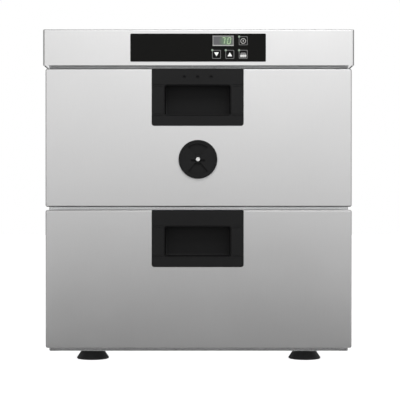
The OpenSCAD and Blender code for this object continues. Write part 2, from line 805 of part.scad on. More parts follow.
// Face of a handle insert: square at the front's top edge, round below
module handle_outline(grow) {
    w = handle_w + 2 * grow;
    translate([0, -handle_h / 2 - grow / 2]) rounded_rect(w, handle_h + grow, handle_r);
    translate([0, -handle_h / 4]) square([w, handle_h / 2], center = true);
}

// Space that a handle insert takes up in the front
module handle_space(i) {
    z1 = grip_z(i) + grip_h / 2 + grip_hook + handle_wall;
    translate([handle_x, 0, front_top(i)]) upright(face_y - cut, handle_plate + cut + fit) union() {
        handle_outline(fit);
        square([handle_w + 2 * fit, 2 * cut], center = true);
    }
    translate([handle_x, 0, 0]) centred_block(grip_box_w + 2 * fit,
        face_y, face_y + grip_depth + handle_wall + fit, z1 - grip_box_h - fit, z1 + fit);
}

// Folded tray of sheet that makes the visible face of a drawer
module front_skin(i) color("gainsboro") difference() {
    at_front(i) upright(face_y, front_t) rounded_rect(body_w, front_h, front_r);
    at_front(i) upright(face_y + sheet, front_t)
        rounded_rect(body_w - 2 * sheet, front_h - 2 * sheet, front_r - sheet);
    handle_space(i);
    if (i == UPPER) at_vent() bar_y(duct_r + duct_gap, face_y - cut, face_y + cut);
}

// Plate that closes a front from behind
module backplate(i) color("silver") difference() {
    at_front(i) upright(front_back_y - sheet, sheet)
        rounded_rect(body_w - 2 * (sheet + fit), front_h - 2 * (sheet + fit), front_r - sheet);
    for (x = DRAWER_SCREW_X)
        translate([x, 0, drawer_screw_z(i)]) bar_y(screw_hole_r, front_back_y - cut, front_back_y + cut);
    if (i == UPPER) at_vent() bar_y(duct_r + duct_gap, front_back_y - cut, front_back_y + cut);
}

module front_insulation(i) color("khaki") difference() {
    edge = sheet + 1;
    at_front(i) upright(face_y + sheet + slab_gap, front_t - 2 * (sheet + slab_gap))
        square([body_w - 2 * edge, front_h - 2 * edge], center = true);
    handle_space(i);
    for (x = DRAWER_SCREW_X)
        translate([x, 0, drawer_screw_z(i)])
            bar_y(screw_r + tail_space, front_back_y - screw_l - tail_space, front_back_y);
    if (i == UPPER) at_vent() bar_y(duct_r + duct_gap, face_y, front_back_y);
}

// Moulded insert: face plate, hand hole, and a pocket that hooks up behind the top band
module handle(i) color([0.14, 0.14, 0.14]) {
    z0 = grip_z(i) - grip_h / 2;
    z1 = grip_z(i) + grip_h / 2 + grip_hook;
    plate_y = face_y + handle_plate;
    pocket_y = face_y + grip_depth;
    difference() {
        union() {
            translate([handle_x, 0, front_top(i)]) upright(face_y - handle_proud, handle_proud + handle_plate)
                handle_outline(0);
            translate([handle_x, 0, 0]) centred_block(grip_box_w, plate_y - join, pocket_y + handle_wall,
                z0 - handle_wall, z1 + handle_wall);
        }
        translate([handle_x, 0, grip_z(i)]) upright(face_y - cut, handle_plate + 2 * cut)
            rounded_rect(grip_w, grip_h, grip_r);
        translate([handle_x, 0, 0]) centred_block(grip_w, plate_y, pocket_y, z0, z1);
    }
}

// Sealing ring that lies on the front frame round the opening
module gasket(i) color([0.2, 0.2, 0.2]) at_front(i) upright(front_back_y, gasket_t - fit) difference() {
    reach = gasket_inset + gasket_w;
    rounded_rect(cavity_w + 2 * reach, opening_h + 2 * reach, gasket_r);
    rounded_rect(cavity_w + 2 * gasket_inset, opening_h + 2 * gasket_inset, gasket_r - gasket_w);
}

// Welded frame behind a front: two arms with ledges, and a cross plate at each end
module pan_frame(i) color("darkgray") difference() {
    top = ledge_z(i);
    rear_y = pan_y1 + pan_rear_gap;
    union() {
        both_sides() {
            block(arm_x - arm_t, arm_x, front_back_y, rear_y + arm_t, top - arm_h, top);
            block(pan_w / 2 - ledge_under, arm_x, front_back_y, rear_y + arm_t, top - arm_t, top);
        }
        centred_block(2 * arm_x, front_back_y, front_back_y + arm_t, top - arm_h, top);
        centred_block(2 * arm_x, front_back_y, pan_y0 + ledge_under, top - arm_t, top);
        centred_block(2 * arm_x, rear_y, rear_y + arm_t, top - arm_h, top);
        centred_block(2 * arm_x, pan_y1 - ledge_under, rear_y + arm_t, top - arm_t, top);
    }
    for (x = DRAWER_SCREW_X)
        translate([x, 0, drawer_screw_z(i)]) bar_y(screw_hole_r, front_back_y - cut, front_back_y + cut);
}

// Outline of a pan's walls at the rim (lean 0) or at the floor, shrunk all round by inset
module pan_outline(lean, inset) {
    less = 2 * (pan_rim + lean + inset);
    rounded_rect(pan_w - less, pan_l - less, pan_corner_r - inset);
}

// Deep-drawn pan whose rim rests on the frame's ledges
module pan(i) color("silver") translate([0, (pan_y0 + pan_y1) / 2, rim_z(i)]) difference() {
    slice = 0.01;
    union() {
        translate([0, 0, -pan_t]) linear_extrude(pan_t) rounded_rect(pan_w, pan_l, pan_rim_r);
        hull($fn = 32) {
            translate([0, 0, -slice]) linear_extrude(slice) pan_outline(0, 0, $fn = 32);
            translate([0, 0, -pan_h]) linear_extrude(slice) pan_outline(pan_lean, 0, $fn = 32);
        }
    }
    hull($fn = 32) {
        linear_extrude(1) pan_outline(0, pan_t, $fn = 32);
        translate([0, 0, pan_t - pan_h]) linear_extrude(slice) pan_outline(pan_lean, pan_t, $fn = 32);
    }
}

// Screws that hold the frame to the backplate
module drawer_screws(i) color("silver") for (x = DRAWER_SCREW_X)
    translate([x, front_back_y + arm_t, drawer_screw_z(i)]) mirror([0, 1, 0]) screw_y(0);

// ---------------------------------------------------------------- vent

// Ring sector along Y, centred on the angle mid in the X-Z plane
module sector(r0, r1, half_angle, mid, y0, y1)
    translate([0, y1, 0]) rotate([90, 0, 0]) rotate([0, 0, mid - half_angle])
        rotate_extrude(angle = 2 * half_angle) translate([r0, 0]) square([r1 - r0, y1 - y0]);

// Duct through the upper front, with openings left and right and a hub for the pin
module vent_housing() color([0.1, 0.1, 0.1]) at_vent() difference() {
    y0 = face_y - vent_flange_t;
    plate_y = face_y + vent_plate_t;
    union() {
        bar_y(duct_r + vent_flange_w, y0, face_y);
        bar_y(duct_r, y0, front_back_y);
    }
    difference() {
        bar_y(duct_r - duct_wall, plate_y, front_back_y + cut);
        bar_y(hub_r, plate_y, face_y + hub_l);
    }
    for (mid = [0, 180])
        sector(vent_slot_r0, duct_r - duct_wall - vent_slot_edge, vent_half_angle, mid,
            y0 - cut, plate_y + cut);
    bar_y(pin_r + pin_hole_gap, y0 - cut, face_y + pin_hole_l);
}

// Turning disc with openings above and below, a rim, and a bar to grip
module vent_dial() color([0.15, 0.15, 0.15]) at_vent() difference() {
    dial_r = dial_d / 2;
    union() {
        bar_y(dial_r, dial_front_y + dial_raise, dial_y);
        difference() {
            bar_y(dial_r, dial_front_y, dial_front_y + dial_raise + join);
            bar_y(dial_r - dial_rim, dial_front_y - cut, dial_front_y + cut);
        }
        bar_y(hub_r, dial_front_y, dial_y - join);
        upright(dial_front_y, dial_raise + join) square(dial_bar, center = true);
    }
    for (mid = [90, 270])
        sector(vent_slot_r0, dial_slot_r, vent_half_angle, mid, dial_front_y - cut, dial_y + cut);
    bar_y(pin_r + pin_gap, dial_front_y - cut, dial_y + cut);
}

// Steel pin whose head holds the dial on
module vent_screw() color("white") at_vent() {
    head_y = dial_front_y - screw_gap;
    bar_y(pin_head_r, head_y - pin_head_h, head_y);
    bar_y(pin_r, head_y - pin_head_h / 2, face_y + pin_l);
}

// ---------------------------------------------------------------- the pieces

mirror([1, 0, 0]) side_panel();  // left_side_panel
side_panel();  // right_side_panel
back_panel();
base_panel();
front_frame();
top_cover();
control_tray();
liner_side_walls();
liner_back_wall();
liner_ceiling();
liner_floor();
cabinet_insulation();
heater_element();
heater_clips();
cavity_probe();
fascia_panel();
display_window();
display_module();
control_board();
board_standoffs();
indicator_lights();
power_key();
down_key();
up_key();
function_key();
power_relay();
transformer();
safety_thermostat();
terminal_block();
cable_gland();
gland_nut();
feet();
foot_screws();
cover_screws();
back_screws();
slide_outers(LOWER);  // lower_slide_outers
slide_outers(UPPER);  // upper_slide_outers
slide_middles(LOWER);  // lower_slide_middles
slide_middles(UPPER);  // upper_slide_middles
slide_inners(LOWER);  // lower_slide_inners
slide_inners(UPPER);  // upper_slide_inners
front_skin(LOWER);  // lower_front_skin
front_skin(UPPER);  // upper_front_skin
backplate(LOWER);  // lower_backplate
backplate(UPPER);  // upper_backplate
front_insulation(LOWER);  // lower_front_insulation
front_insulation(UPPER);  // upper_front_insulation
handle(LOWER);  // lower_handle
handle(UPPER);  // upper_handle
gasket(LOWER);  // lower_gasket
gasket(UPPER);  // upper_gasket
pan_frame(LOWER);  // lower_pan_frame
pan_frame(UPPER);  // upper_pan_frame
pan(LOWER);  // lower_pan
pan(UPPER);  // upper_pan
drawer_screws(LOWER);  // lower_drawer_screws
drawer_screws(UPPER);  // upper_drawer_screws
vent_housing();
vent_dial();
vent_screw();
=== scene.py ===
"""Two-drawer countertop warming cabinet in satin stainless steel, seen square on from the front.
Lengths are in metres, X to the right, Y to the back and Z up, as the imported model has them."""
import contextlib
import math
import bmesh
import bpy
from mathutils import Matrix, Vector


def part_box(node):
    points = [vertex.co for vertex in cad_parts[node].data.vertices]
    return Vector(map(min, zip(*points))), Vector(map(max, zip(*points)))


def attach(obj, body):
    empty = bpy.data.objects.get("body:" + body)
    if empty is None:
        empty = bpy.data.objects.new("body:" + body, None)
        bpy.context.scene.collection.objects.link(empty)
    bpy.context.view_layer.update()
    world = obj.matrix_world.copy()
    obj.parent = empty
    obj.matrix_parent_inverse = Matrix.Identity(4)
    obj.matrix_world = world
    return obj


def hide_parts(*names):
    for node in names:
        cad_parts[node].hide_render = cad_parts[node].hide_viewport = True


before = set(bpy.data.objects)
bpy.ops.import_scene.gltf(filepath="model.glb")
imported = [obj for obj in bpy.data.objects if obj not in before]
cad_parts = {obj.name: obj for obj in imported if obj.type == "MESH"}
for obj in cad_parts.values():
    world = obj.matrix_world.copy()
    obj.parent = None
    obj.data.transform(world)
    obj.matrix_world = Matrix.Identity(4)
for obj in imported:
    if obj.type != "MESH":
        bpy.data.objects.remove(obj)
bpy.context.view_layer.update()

# ------------ camera
# Level, about two metres in front of the fronts and as high as the gap between the drawers. The
# photograph is 400 pixels square; its lines are read at the plane of the fronts' faces.
PHOTO_SIZE = 400
PHOTO_MIDDLE_COLUMN = 198.6
PHOTO_TOP_ROW = 29.2
PIXEL = 0.001579
CAMERA_DISTANCE = 1.95
cover_low, cover_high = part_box("top_cover")
face_y = cover_low.y
bpy.ops.object.camera_add(
    location=(
        (PHOTO_SIZE / 2 - PHOTO_MIDDLE_COLUMN) * PIXEL,
        face_y - CAMERA_DISTANCE,
        cover_high.z - (PHOTO_SIZE / 2 - PHOTO_TOP_ROW) * PIXEL,
    ),
    rotation=(math.pi / 2, 0, 0),
)
camera = bpy.context.object
camera.data.lens = camera.data.sensor_width * CAMERA_DISTANCE / (PHOTO_SIZE * PIXEL)
bpy.context.scene.camera = camera


# ------------ feet
# Four black thermoplastic feet, moulded as a cone with a rolled lip and a recess for the screw.
# Each is screwed up into the cabinet's base from below.
def deselect():
    if bpy.context.object and bpy.context.object.mode != "OBJECT":
        bpy.ops.object.mode_set(mode="OBJECT")
    bpy.ops.object.select_all(action="DESELECT")


def activate(piece):
    deselect()
    piece.select_set(True)
    bpy.context.view_layer.objects.active = piece
    return piece


def settled(piece):
    """Leaves the piece's place, turn and size in its mesh."""
    activate(piece)
    bpy.ops.object.transform_apply(location=True, rotation=True, scale=True)
    return piece


def placed(piece, place=(0, 0, 0), turn=(0, 0, 0)):
    """Turns the settled piece about the origin and then moves it."""
    settled(piece)
    piece.rotation_euler = turn
    piece.location = place
    return settled(piece)


@contextlib.contextmanager
def editing(piece):
    """Edit mode with everything selected."""
    activate(piece)
    bpy.ops.object.mode_set(mode="EDIT")
    bpy.ops.mesh.select_all(action="SELECT")
    yield
    bpy.ops.object.mode_set(mode="OBJECT")


def mend(piece):
    """Merges doubled points and points every face outwards."""
    with editing(piece):
        bpy.ops.mesh.remove_doubles(threshold=1e-6)
        bpy.ops.mesh.normals_make_consistent(inside=False)
    return piece


def turned(name, outline, sides=64):
    """A turned piece on the Z axis: a ring extruded from each (radius, height) to the next.
    It is a tube where the outline comes back to its start, and closed at both ends otherwise."""
    first_radius, first_height = outline[0]
    bpy.ops.mesh.primitive_circle_add(vertices=sides, radius=first_radius, location=(0, 0, first_height))
    piece = bpy.context.object
    piece.name = name
    with editing(piece):
        if outline[0] != outline[-1]:
            bpy.ops.mesh.edge_face_add()
        for (r0, h0), (r1, h1) in zip(outline, outline[1:]):
            bpy.ops.mesh.extrude_region_move(TRANSFORM_OT_translate={"value": (0, 0, h1 - h0)})
            bpy.ops.transform.resize(value=(r1 / r0, r1 / r0, 1), center_override=(0, 0, h1))
    return mend(settled(piece))


def modified(piece, kind, **settings):
    """Applies one modifier to the piece."""
    activate(piece)
    modifier = piece.modifiers.new(kind, kind)
    for name, value in settings.items():
        setattr(modifier, name, value)
    bpy.ops.object.modifier_apply(modifier=modifier.name)
    return piece


def soften(piece, width, segments=2, angle=35):
    """Rounds every edge that is sharper than the angle."""
    return modified(piece, "BEVEL", width=width, segments=segments, limit_method="ANGLE",
                    angle_limit=math.radians(angle), miter_outer="MITER_ARC")


def feed(tree, node, *values, **named):
    """Sets the node's inputs, or links them where a value is another node's output."""
    for name, value in [*enumerate(values), *named.items()]:
        target = node.inputs[name if isinstance(name, int) else name.replace("_", " ")]
        if isinstance(value, bpy.types.NodeSocket):
            tree.links.new(value, target)
        else:
            target.default_value = value
    return node.outputs


def added(tree, kind, *values, operation=None, **named):
    """A new shader node with its inputs fed; gives its outputs."""
    node = tree.nodes.new(f"ShaderNode{kind}")
    if operation:
        node.operation = operation
    return feed(tree, node, *values, **named)


def maths(tree, operation, *values):
    return added(tree, "Math", *values, operation=operation)["Value"]


def new_material(name):
    material = bpy.data.materials.new(name)
    material.use_nodes = True
    return material, material.node_tree


CLOUDS = 14
EDGE_WIDTH = 0.0012
EDGE_PATCHES, EDGE_POLISH = 1.6, 0.3
# Cosines of the angle between a face and its edge or fold, from where it shows to where it is full
EDGE_KEPT, EDGE_LOST = 0.995, 0.8
# Painted shade on folds: cosines of the normal's tilt from the axes, from where the shade starts to where it is full
FOLD_SHADE_STARTS, FOLD_SHADE_FULL = 0.998, 0.975


def finish(name, colour, metallic, roughness, grain, tint=0.06, spread=0.08, relief=20, worn=0.0,
           gloss=0.5, fold_shade=0.0):
    """A node material in Object coordinates. A noise with `grain` waves per metre, one number or one
    for each axis, changes the colour by `tint` and the roughness by `spread` and raises a relief in
    micrometres; slow clouds of handling lie over it. `worn` lightens and polishes the edges. The last
    argument paints shade into the colour on a sheet's folds: it darkens them where the normal turns
    away from the axes."""
    material, tree = new_material(name)
    place = added(tree, "TexCoord")
    waves = grain if isinstance(grain, tuple) else (grain, grain, grain)
    stretch = added(tree, "Mapping", Vector=place["Object"], Scale=waves)
    fine = added(tree, "TexNoise", Vector=stretch["Vector"], Scale=1, Detail=3)["Fac"]
    clouds = added(tree, "TexNoise", Vector=place["Object"], Scale=CLOUDS, Detail=4)["Fac"]

    def spanned(value, low, high, start=0, end=1):
        return added(tree, "MapRange", Value=value, From_Min=start, From_Max=end,
                     To_Min=low, To_Max=high)["Result"]

    shade = maths(tree, "MULTIPLY", spanned(fine, 1 - tint, 1 + tint),
                  spanned(clouds, 1 - tint / 2, 1 + tint / 2))
    rough = maths(tree, "ADD", spanned(fine, roughness - spread, roughness + spread),
                  spanned(clouds, -spread / 3, spread / 3))
    if worn:
        rounded = added(tree, "Bevel", Radius=EDGE_WIDTH)["Normal"]
        true_normal = added(tree, "NewGeometry")["Normal"]
        edge = added(tree, "VectorMath", rounded, true_normal, operation="DOT_PRODUCT")["Value"]
        patchy = maths(tree, "MULTIPLY", spanned(edge, 0, 1, EDGE_KEPT, EDGE_LOST), spanned(clouds, 0, EDGE_PATCHES))
        shade = maths(tree, "MULTIPLY", shade, spanned(patchy, 1, 1 + worn))
        rough = maths(tree, "ADD", rough, spanned(patchy, 0, -EDGE_POLISH * min(worn, 0.5)))
    # Painted shade: the colour gets darker on folds, where the normal turns away from the axes
    if fold_shade:
        upright = added(tree, "VectorMath", place["Normal"], operation="ABSOLUTE")["Vector"]
        x, y, z = added(tree, "SeparateXYZ", upright)
        flat = maths(tree, "MAXIMUM", maths(tree, "MAXIMUM", x, y), z)
        shade = maths(tree, "MULTIPLY", shade, spanned(flat, 1, 1 - fold_shade, FOLD_SHADE_STARTS, FOLD_SHADE_FULL))
    tinted = added(tree, "VectorMath", colour, operation="SCALE", Scale=shade)["Vector"]
    bump = added(tree, "Bump", Strength=1, Distance=relief * 1e-6, Height=fine)["Normal"]
    feed(tree, tree.nodes["Principled BSDF"], Metallic=metallic, Specular_IOR_Level=gloss,
         Base_Color=tinted, Roughness=rough, Normal=bump)
    return material


def done(piece, material, body, slot, *nodes, crease=35):
    """Gives the finished piece its material, its shading and its CAD body; the slot is not used."""
    activate(piece)
    piece.data.materials.clear()
    piece.data.materials.append(material)
    bpy.ops.object.shade_smooth_by_angle(angle=math.radians(crease))
    modified(piece, "WEIGHTED_NORMAL", keep_sharp=True, weight=100)
    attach(piece, body)
    if nodes:
        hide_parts(*nodes)
    return piece


def copied(piece, name):
    twin = piece.copy()
    twin.data = piece.data.copy()
    twin.name = name
    bpy.context.scene.collection.objects.link(twin)
    return twin


foot_black = finish("foot thermoplastic", (0.018, 0.018, 0.0184), 0, 0.52, 1400,
                    tint=0.25, relief=60, worn=0.5, gloss=0.2)
feet_low, feet_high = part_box("feet")
FOOT_RADIUS = 0.0266
FOOT_LIP = 0.0016
FOOT_NECK = 0.0154
FOOT_RECESS = 0.008
FOOT_HOLE = 0.0032
foot_middle = FOOT_RADIUS - FOOT_LIP
lip_arc = [math.radians(a) for a in range(45, -91, -15)]
# The cone and its lip, a shallow groove in the sole, the screw's recess and the bore
foot_outline = [
    (FOOT_HOLE, feet_high.z), (FOOT_NECK, feet_high.z),
    *[(foot_middle + FOOT_LIP * math.cos(a), FOOT_LIP * (1 + math.sin(a))) for a in lip_arc],
    (0.0215, 0), (0.0208, 0.0006), (0.0108, 0.0006), (0.0101, 0), (0.0074, 0), (0.007, 0.0006),
    (0.007, FOOT_RECESS), (FOOT_HOLE, FOOT_RECESS), (FOOT_HOLE, feet_high.z),
]
foot_x = feet_high.x - FOOT_RADIUS
foot_rows = (feet_low.y + FOOT_RADIUS, feet_high.y - FOOT_RADIUS)
foot = soften(turned("foot", foot_outline), 0.0003)
foot_places = {
    f"{row}_{side}": (x, y, 0)
    for row, y in zip(("front", "rear"), foot_rows) for side, x in (("left", -foot_x), ("right", foot_x))
}
for where, place in foot_places.items():
    done(placed(copied(foot, f"foot_{where}"), place), foot_black, "cabinet", "foot_rubber", "feet")
bpy.data.objects.remove(foot)


# ------------ case
# Side skins and base of bright satin stainless sheet, folded on a press brake: each side skin has
# its flanges turned in at the top, the bottom and the back, and the back panel is screwed on them.
def box(name, low, high):
    """A cube stretched between two opposite corners, in either order."""
    bpy.ops.mesh.primitive_cube_add(size=1, location=[(a + b) / 2 for a, b in zip(low, high)])
    piece = bpy.context.object
    piece.name = name
    piece.scale = [abs(b - a) for a, b in zip(low, high)]
    return settled(piece)


def grown(name, low, high, by, y0, y1):
    """A block from y0 to y1 over what the corners span as seen from the front, grown on each side."""
    return box(name, (low[0] - by, y0, low[2] - by), (high[0] + by, y1, high[2] + by))


@contextlib.contextmanager
def shaping(piece, kind, wanted):
    """Edit mode with the vertices, edges or faces selected whose middle and direction are wanted."""
    with editing(piece):
        bpy.ops.mesh.select_mode(type=kind)
        bpy.ops.mesh.select_all(action="DESELECT")
        mesh = bmesh.from_edit_mesh(piece.data)
        if kind == "VERT":
            parts = [(v, v.co, v.normal) for v in mesh.verts]
        elif kind == "EDGE":
            ends = [(e, *[v.co for v in e.verts]) for e in mesh.edges]
            parts = [(e, (a + b) / 2, (b - a).normalized()) for e, a, b in ends]
        else:
            parts = [(f, f.calc_center_median(), f.normal) for f in mesh.faces]
        for part, middle, way in parts:
            part.select_set(bool(wanted(middle, way)))
        mesh.select_flush_mode()
        bmesh.update_edit_mesh(piece.data)
        yield


NEAR = 0.00002
# How far a cutter stands out of a piece that it cuts into, and of one that it cuts through
OVER = 0.001
THROUGH = 0.01


def near(a, b):
    return abs(a - b) < NEAR


def round_edges(piece, width, wanted, segments=4):
    with shaping(piece, "EDGE", wanted):
        bpy.ops.mesh.bevel(offset=width, segments=segments, profile=0.5, affect="EDGES")
    return piece


def without_faces(piece, wanted):
    with shaping(piece, "FACE", wanted):
        bpy.ops.mesh.delete(type="FACE")
    return piece


def thickened(piece, thickness):
    """Gives a folded sheet its thickness, inwards from its outer face."""
    return modified(piece, "SOLIDIFY", thickness=thickness, offset=-1, use_even_offset=True)


def joined(name, pieces):
    deselect()
    for piece in pieces:
        piece.select_set(True)
    bpy.context.view_layer.objects.active = pieces[0]
    bpy.ops.object.join()
    bpy.context.object.name = name
    return bpy.context.object


def combine(piece, other, operation="DIFFERENCE"):
    """Cuts the other shape out of the piece, or adds it, and uses it up."""
    modified(piece, "BOOLEAN", operation=operation, solver="EXACT", object=other)
    bpy.data.objects.remove(other)
    return piece


def rod(radius, low, high, place=(0, 0, 0), turn=(0, 0, 0), sides=32):
    """A round cutter or bar on Z from low to high, then turned and placed."""
    bpy.ops.mesh.primitive_cylinder_add(
        vertices=sides, radius=radius, depth=high - low, location=(0, 0, (low + high) / 2))
    return placed(bpy.context.object, place, turn)


FORWARD = (math.pi / 2, 0, 0)


def mirrored(piece, name):
    """The left twin of a piece on the right."""
    twin = copied(piece, name)
    twin.data.transform(Matrix.Scale(-1, 4, (1, 0, 0)))
    return mend(twin)


def drilled(piece, radius, places, turn=FORWARD, depth=0.006):
    """Drills the piece through at each place."""
    return combine(piece, joined("holes", [rod(radius, -depth, depth, place, turn) for place in places]))


SHEET = 0.0012
FOLD = 0.0015
# Its folds get painted shade, darker than the flat faces
case_steel = finish("satin case steel", (0.64, 0.645, 0.65), 1, 0.36, (2600, 2600, 34),
                    tint=0.03, spread=0.07, relief=4, fold_shade=0.45)
frame_steel = finish("bright annealed steel", (0.76, 0.765, 0.77), 1, 0.22, 900,
                     tint=0.03, spread=0.04, relief=3)
hidden_steel = finish("plain mill-finish steel", (0.56, 0.565, 0.57), 1, 0.46, 500,
                      tint=0.05, spread=0.06, relief=10)


def dressed(material, *names):
    """A CAD node whose shape is right keeps it and takes the material."""
    for name in names:
        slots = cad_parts[name].data.materials
        slots.clear()
        slots.append(material)


right_low, right_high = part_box("right_side_panel")
side = box("right_side_skin", right_low, (right_high.x, right_high.y - SHEET, right_high.z))
without_faces(side, lambda at, way: way.x < -0.5 or way.y < -0.5)
round_edges(side, FOLD, lambda at, way: near(at.x, right_high.x) and at.y > right_low.y + NEAR)
thickened(side, SHEET)
back_low, back_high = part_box("back_panel")
BACK_SCREW_ROWS = 4
BACK_SCREW_MARGIN = 0.025
back_screw_x = right_high.x - SHEET - (right_high.x - right_low.x) / 2
back_screw_pitch = (right_high.z - right_low.z - 2 * BACK_SCREW_MARGIN) / (BACK_SCREW_ROWS - 1)
back_screw_z = [right_low.z + BACK_SCREW_MARGIN + k * back_screw_pitch for k in range(BACK_SCREW_ROWS)]
SCREW_HOLE = 0.0021
drilled(side, SCREW_HOLE, [(back_screw_x, back_high.y - SHEET, z) for z in back_screw_z], depth=0.004)
left_side = mirrored(side, "left_side_skin")
done(side, case_steel, "cabinet", "case_steel", "right_side_panel")
done(left_side, case_steel, "cabinet", "case_steel", "left_side_panel")

back = box("back_sheet", back_low, back_high)
back_screw_places = [(x, back_high.y, z) for x in (-back_screw_x, back_screw_x) for z in back_screw_z]
drilled(back, SCREW_HOLE, back_screw_places, depth=0.004)
done(soften(back, 0.0003), case_steel, "cabinet", "case_steel", "back_panel")
dressed(case_steel, "base_panel")
dressed(hidden_steel, "liner_side_walls", "liner_back_wall", "liner_ceiling", "liner_floor", "heater_clips")


# ------------ screws
# Stainless pan-head screws with a cross recess. They hold the back, the cover and the drawer
# frames; larger ones with a hexagon socket hold the feet, each with its nut on the base.
def pan_screw(name, radius, height, shank, length):
    """Head forwards of Z = 0, shank behind it."""
    dome = [(radius * math.sin(a), height * (0.25 + 0.75 * math.cos(a)))
            for a in [math.radians(d) for d in (12, 28, 44, 60, 76, 88)]]
    screw = turned(name, [*dome, (radius, 0), (shank, 0), (shank, -length), (shank * 0.5, -length - shank)], 32)
    arm = radius * 0.62
    for x, y in ((arm, arm / 5), (arm / 5, arm)):
        combine(screw, box("slot", (-x, -y, height * 0.45), (x, y, height * 2)))
    return soften(screw, 0.00008, 1, 50)


screw_steel = finish("bright screw steel", (0.66, 0.66, 0.65), 1, 0.3, 900,
                     tint=0.08, relief=10, worn=0.2)
HEAD_RADIUS = 0.0036
HEAD_HEIGHT = 0.0018
screw = pan_screw("screw", HEAD_RADIUS, HEAD_HEIGHT, 0.0019, 0.007)
BACKWARD = (-math.pi / 2, 0, 0)


def set_in(pattern, name, place, body, node, turn=BACKWARD):
    """One more copy of a screw or nut, set in at its place."""
    done(placed(copied(pattern, name), place, turn), screw_steel, body, "screw_steel", node)


for k, place in enumerate(back_screw_places, 1):
    set_in(screw, f"back_screw_{k}", place, "cabinet", "back_screws")

SOCKET_RADIUS, SOCKET_DEEP = 0.0029, 0.0066
NUT_RADIUS, NUT_LOW, NUT_HIGH = 0.0058, 0.0199, 0.0249
NUT_BORE = 0.00305
foot_bolt = turned("foot bolt", [(0.0047, 0.004), (0.0052, 0.0045), (0.0052, 0.008), (0.003, 0.008),
                                 (0.003, 0.0265), (0.0025, 0.0269)], 32)
combine(foot_bolt, rod(SOCKET_RADIUS, 0.002, SOCKET_DEEP, sides=6))
foot_nut = rod(NUT_RADIUS, NUT_LOW, NUT_HIGH, sides=6)
combine(foot_nut, rod(NUT_BORE, NUT_LOW - 0.0049, NUT_HIGH + 0.0051))
soften(foot_nut, 0.0005, 2, 25)
for where, place in foot_places.items():
    set_in(foot_bolt, f"foot_screw_{where}", place, "cabinet", "foot_screws", (0, 0, 0))
    set_in(foot_nut, f"foot_nut_{where}", place, "cabinet", "foot_screws", (0, 0, 0))
for used in (foot_bolt, foot_nut):
    bpy.data.objects.remove(used)


# ------------ front frame
# One stainless sheet with the two drawer openings laser-cut in it; the gaskets seal on it. Its lower
# edge shows under the lower drawer, and its cross strip in the gap between the drawers.
frame_low, frame_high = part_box("front_frame")
lower_low, lower_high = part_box("lower_front_skin")
upper_low, upper_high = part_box("upper_front_skin")
FRONT_LAP = 0.02
opening_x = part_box("liner_ceiling")[1].x
front_sheet = box("front_sheet", frame_low, frame_high)
for low, high in ((lower_low, lower_high), (upper_low, upper_high)):
    hole = box("opening", (-opening_x, frame_low.y - THROUGH, low.z + FRONT_LAP),
               (opening_x, frame_high.y + THROUGH, high.z - FRONT_LAP))
    combine(front_sheet, hole)
done(soften(front_sheet, 0.0003), frame_steel, "cabinet", "case_steel", "front_frame")


# ------------ warm cavity
# Behind the liner lie mineral-wool slabs. A sheathed heater of oxidised steel is clipped to the
# floor, bent into an M, and a probe stands out of the back wall between the two drawers' levels.
wool = finish("mineral wool", (0.42, 0.36, 0.2), 0, 0.95, (260, 260, 700), tint=0.3, spread=0.04, relief=800)
heater_steel = finish("oxidised heater sheath", (0.16, 0.145, 0.13), 1, 0.55, (500, 120, 500),
                      tint=0.35, spread=0.12, relief=30)
dressed(wool, "cabinet_insulation", "lower_front_insulation", "upper_front_insulation")
dressed(heater_steel, "heater_element")
dressed(screw_steel, "cavity_probe")


# ------------ slides
# Full-extension telescopic slides of galvanised steel, rolled to C channels. The outer member is
# fixed to the liner, the middle one runs in it, and the inner one carries the drawer's arm.
SIDEWAYS = (0, math.pi / 2, 0)


def channel(name, low, high, open_way, steel, holes):
    """A rolled channel along Y that is open towards open_way on X, with a row of punched holes."""
    piece = box(name, low, high)
    without_faces(piece, lambda at, way: way.x * open_way > 0.5 or abs(way.y) > 0.5)
    web_x = low[0] if open_way > 0 else high[0]
    round_edges(piece, steel, lambda at, way: near(at.x, web_x) and abs(way.y) > 0.5, 3)
    thickened(piece, steel)
    middle = (low[2] + high[2]) / 2
    length = high[1] - low[1]
    return combine(piece, joined("holes", [
        rod(radius, -THROUGH, THROUGH, (web_x, low[1] + share * length, middle), SIDEWAYS)
        for share, radius in holes]))


zinc = finish("galvanised steel", (0.5, 0.52, 0.545), 1, 0.42, (190, 60, 190),
              tint=0.12, spread=0.1, relief=10, worn=0.15)
SLIDE_STEEL = 0.0016
HOLES = {"outers": [(0.06, 0.0022), (0.5, 0.0022), (0.94, 0.0022)],
         "middles": [(0.1, 0.003), (0.5, 0.005), (0.9, 0.003)],
         "inners": [(0.05, 0.0022), (0.3, 0.0022), (0.62, 0.0022), (0.95, 0.0022)]}
LEVELS = ("lower", "upper")
for level in LEVELS:
    bodies = ("cabinet", f"{level}_slide_middle", f"{level}_drawer")
    for member, body in zip(HOLES, bodies):
        node = f"{level}_slide_{member}"
        low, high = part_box(node)
        inner_x = min(abs(v.co.x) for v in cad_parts[node].data.vertices)
        right = channel(f"{level}_slide_{member[:-1]}_right", (inner_x, low.y, low.z), high,
                        1 if member == "inners" else -1, SLIDE_STEEL, HOLES[member])
        for half in (right, mirrored(right, f"{level}_slide_{member[:-1]}_left")):
            done(soften(half, 0.00015, 1, 60), zinc, body, "slide_steel", node)


# ------------ pan frames
# Angle bars of 2 mm stainless steel, welded into a frame behind each front. Its upper leaves are
# the ledges that the pan's rim lies on, and its arms are riveted to the slides.
ARM = 0.002
ARM_FOLD = 0.0022
LEDGE_UNDER = 0.007
pan_low, pan_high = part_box("upper_pan")


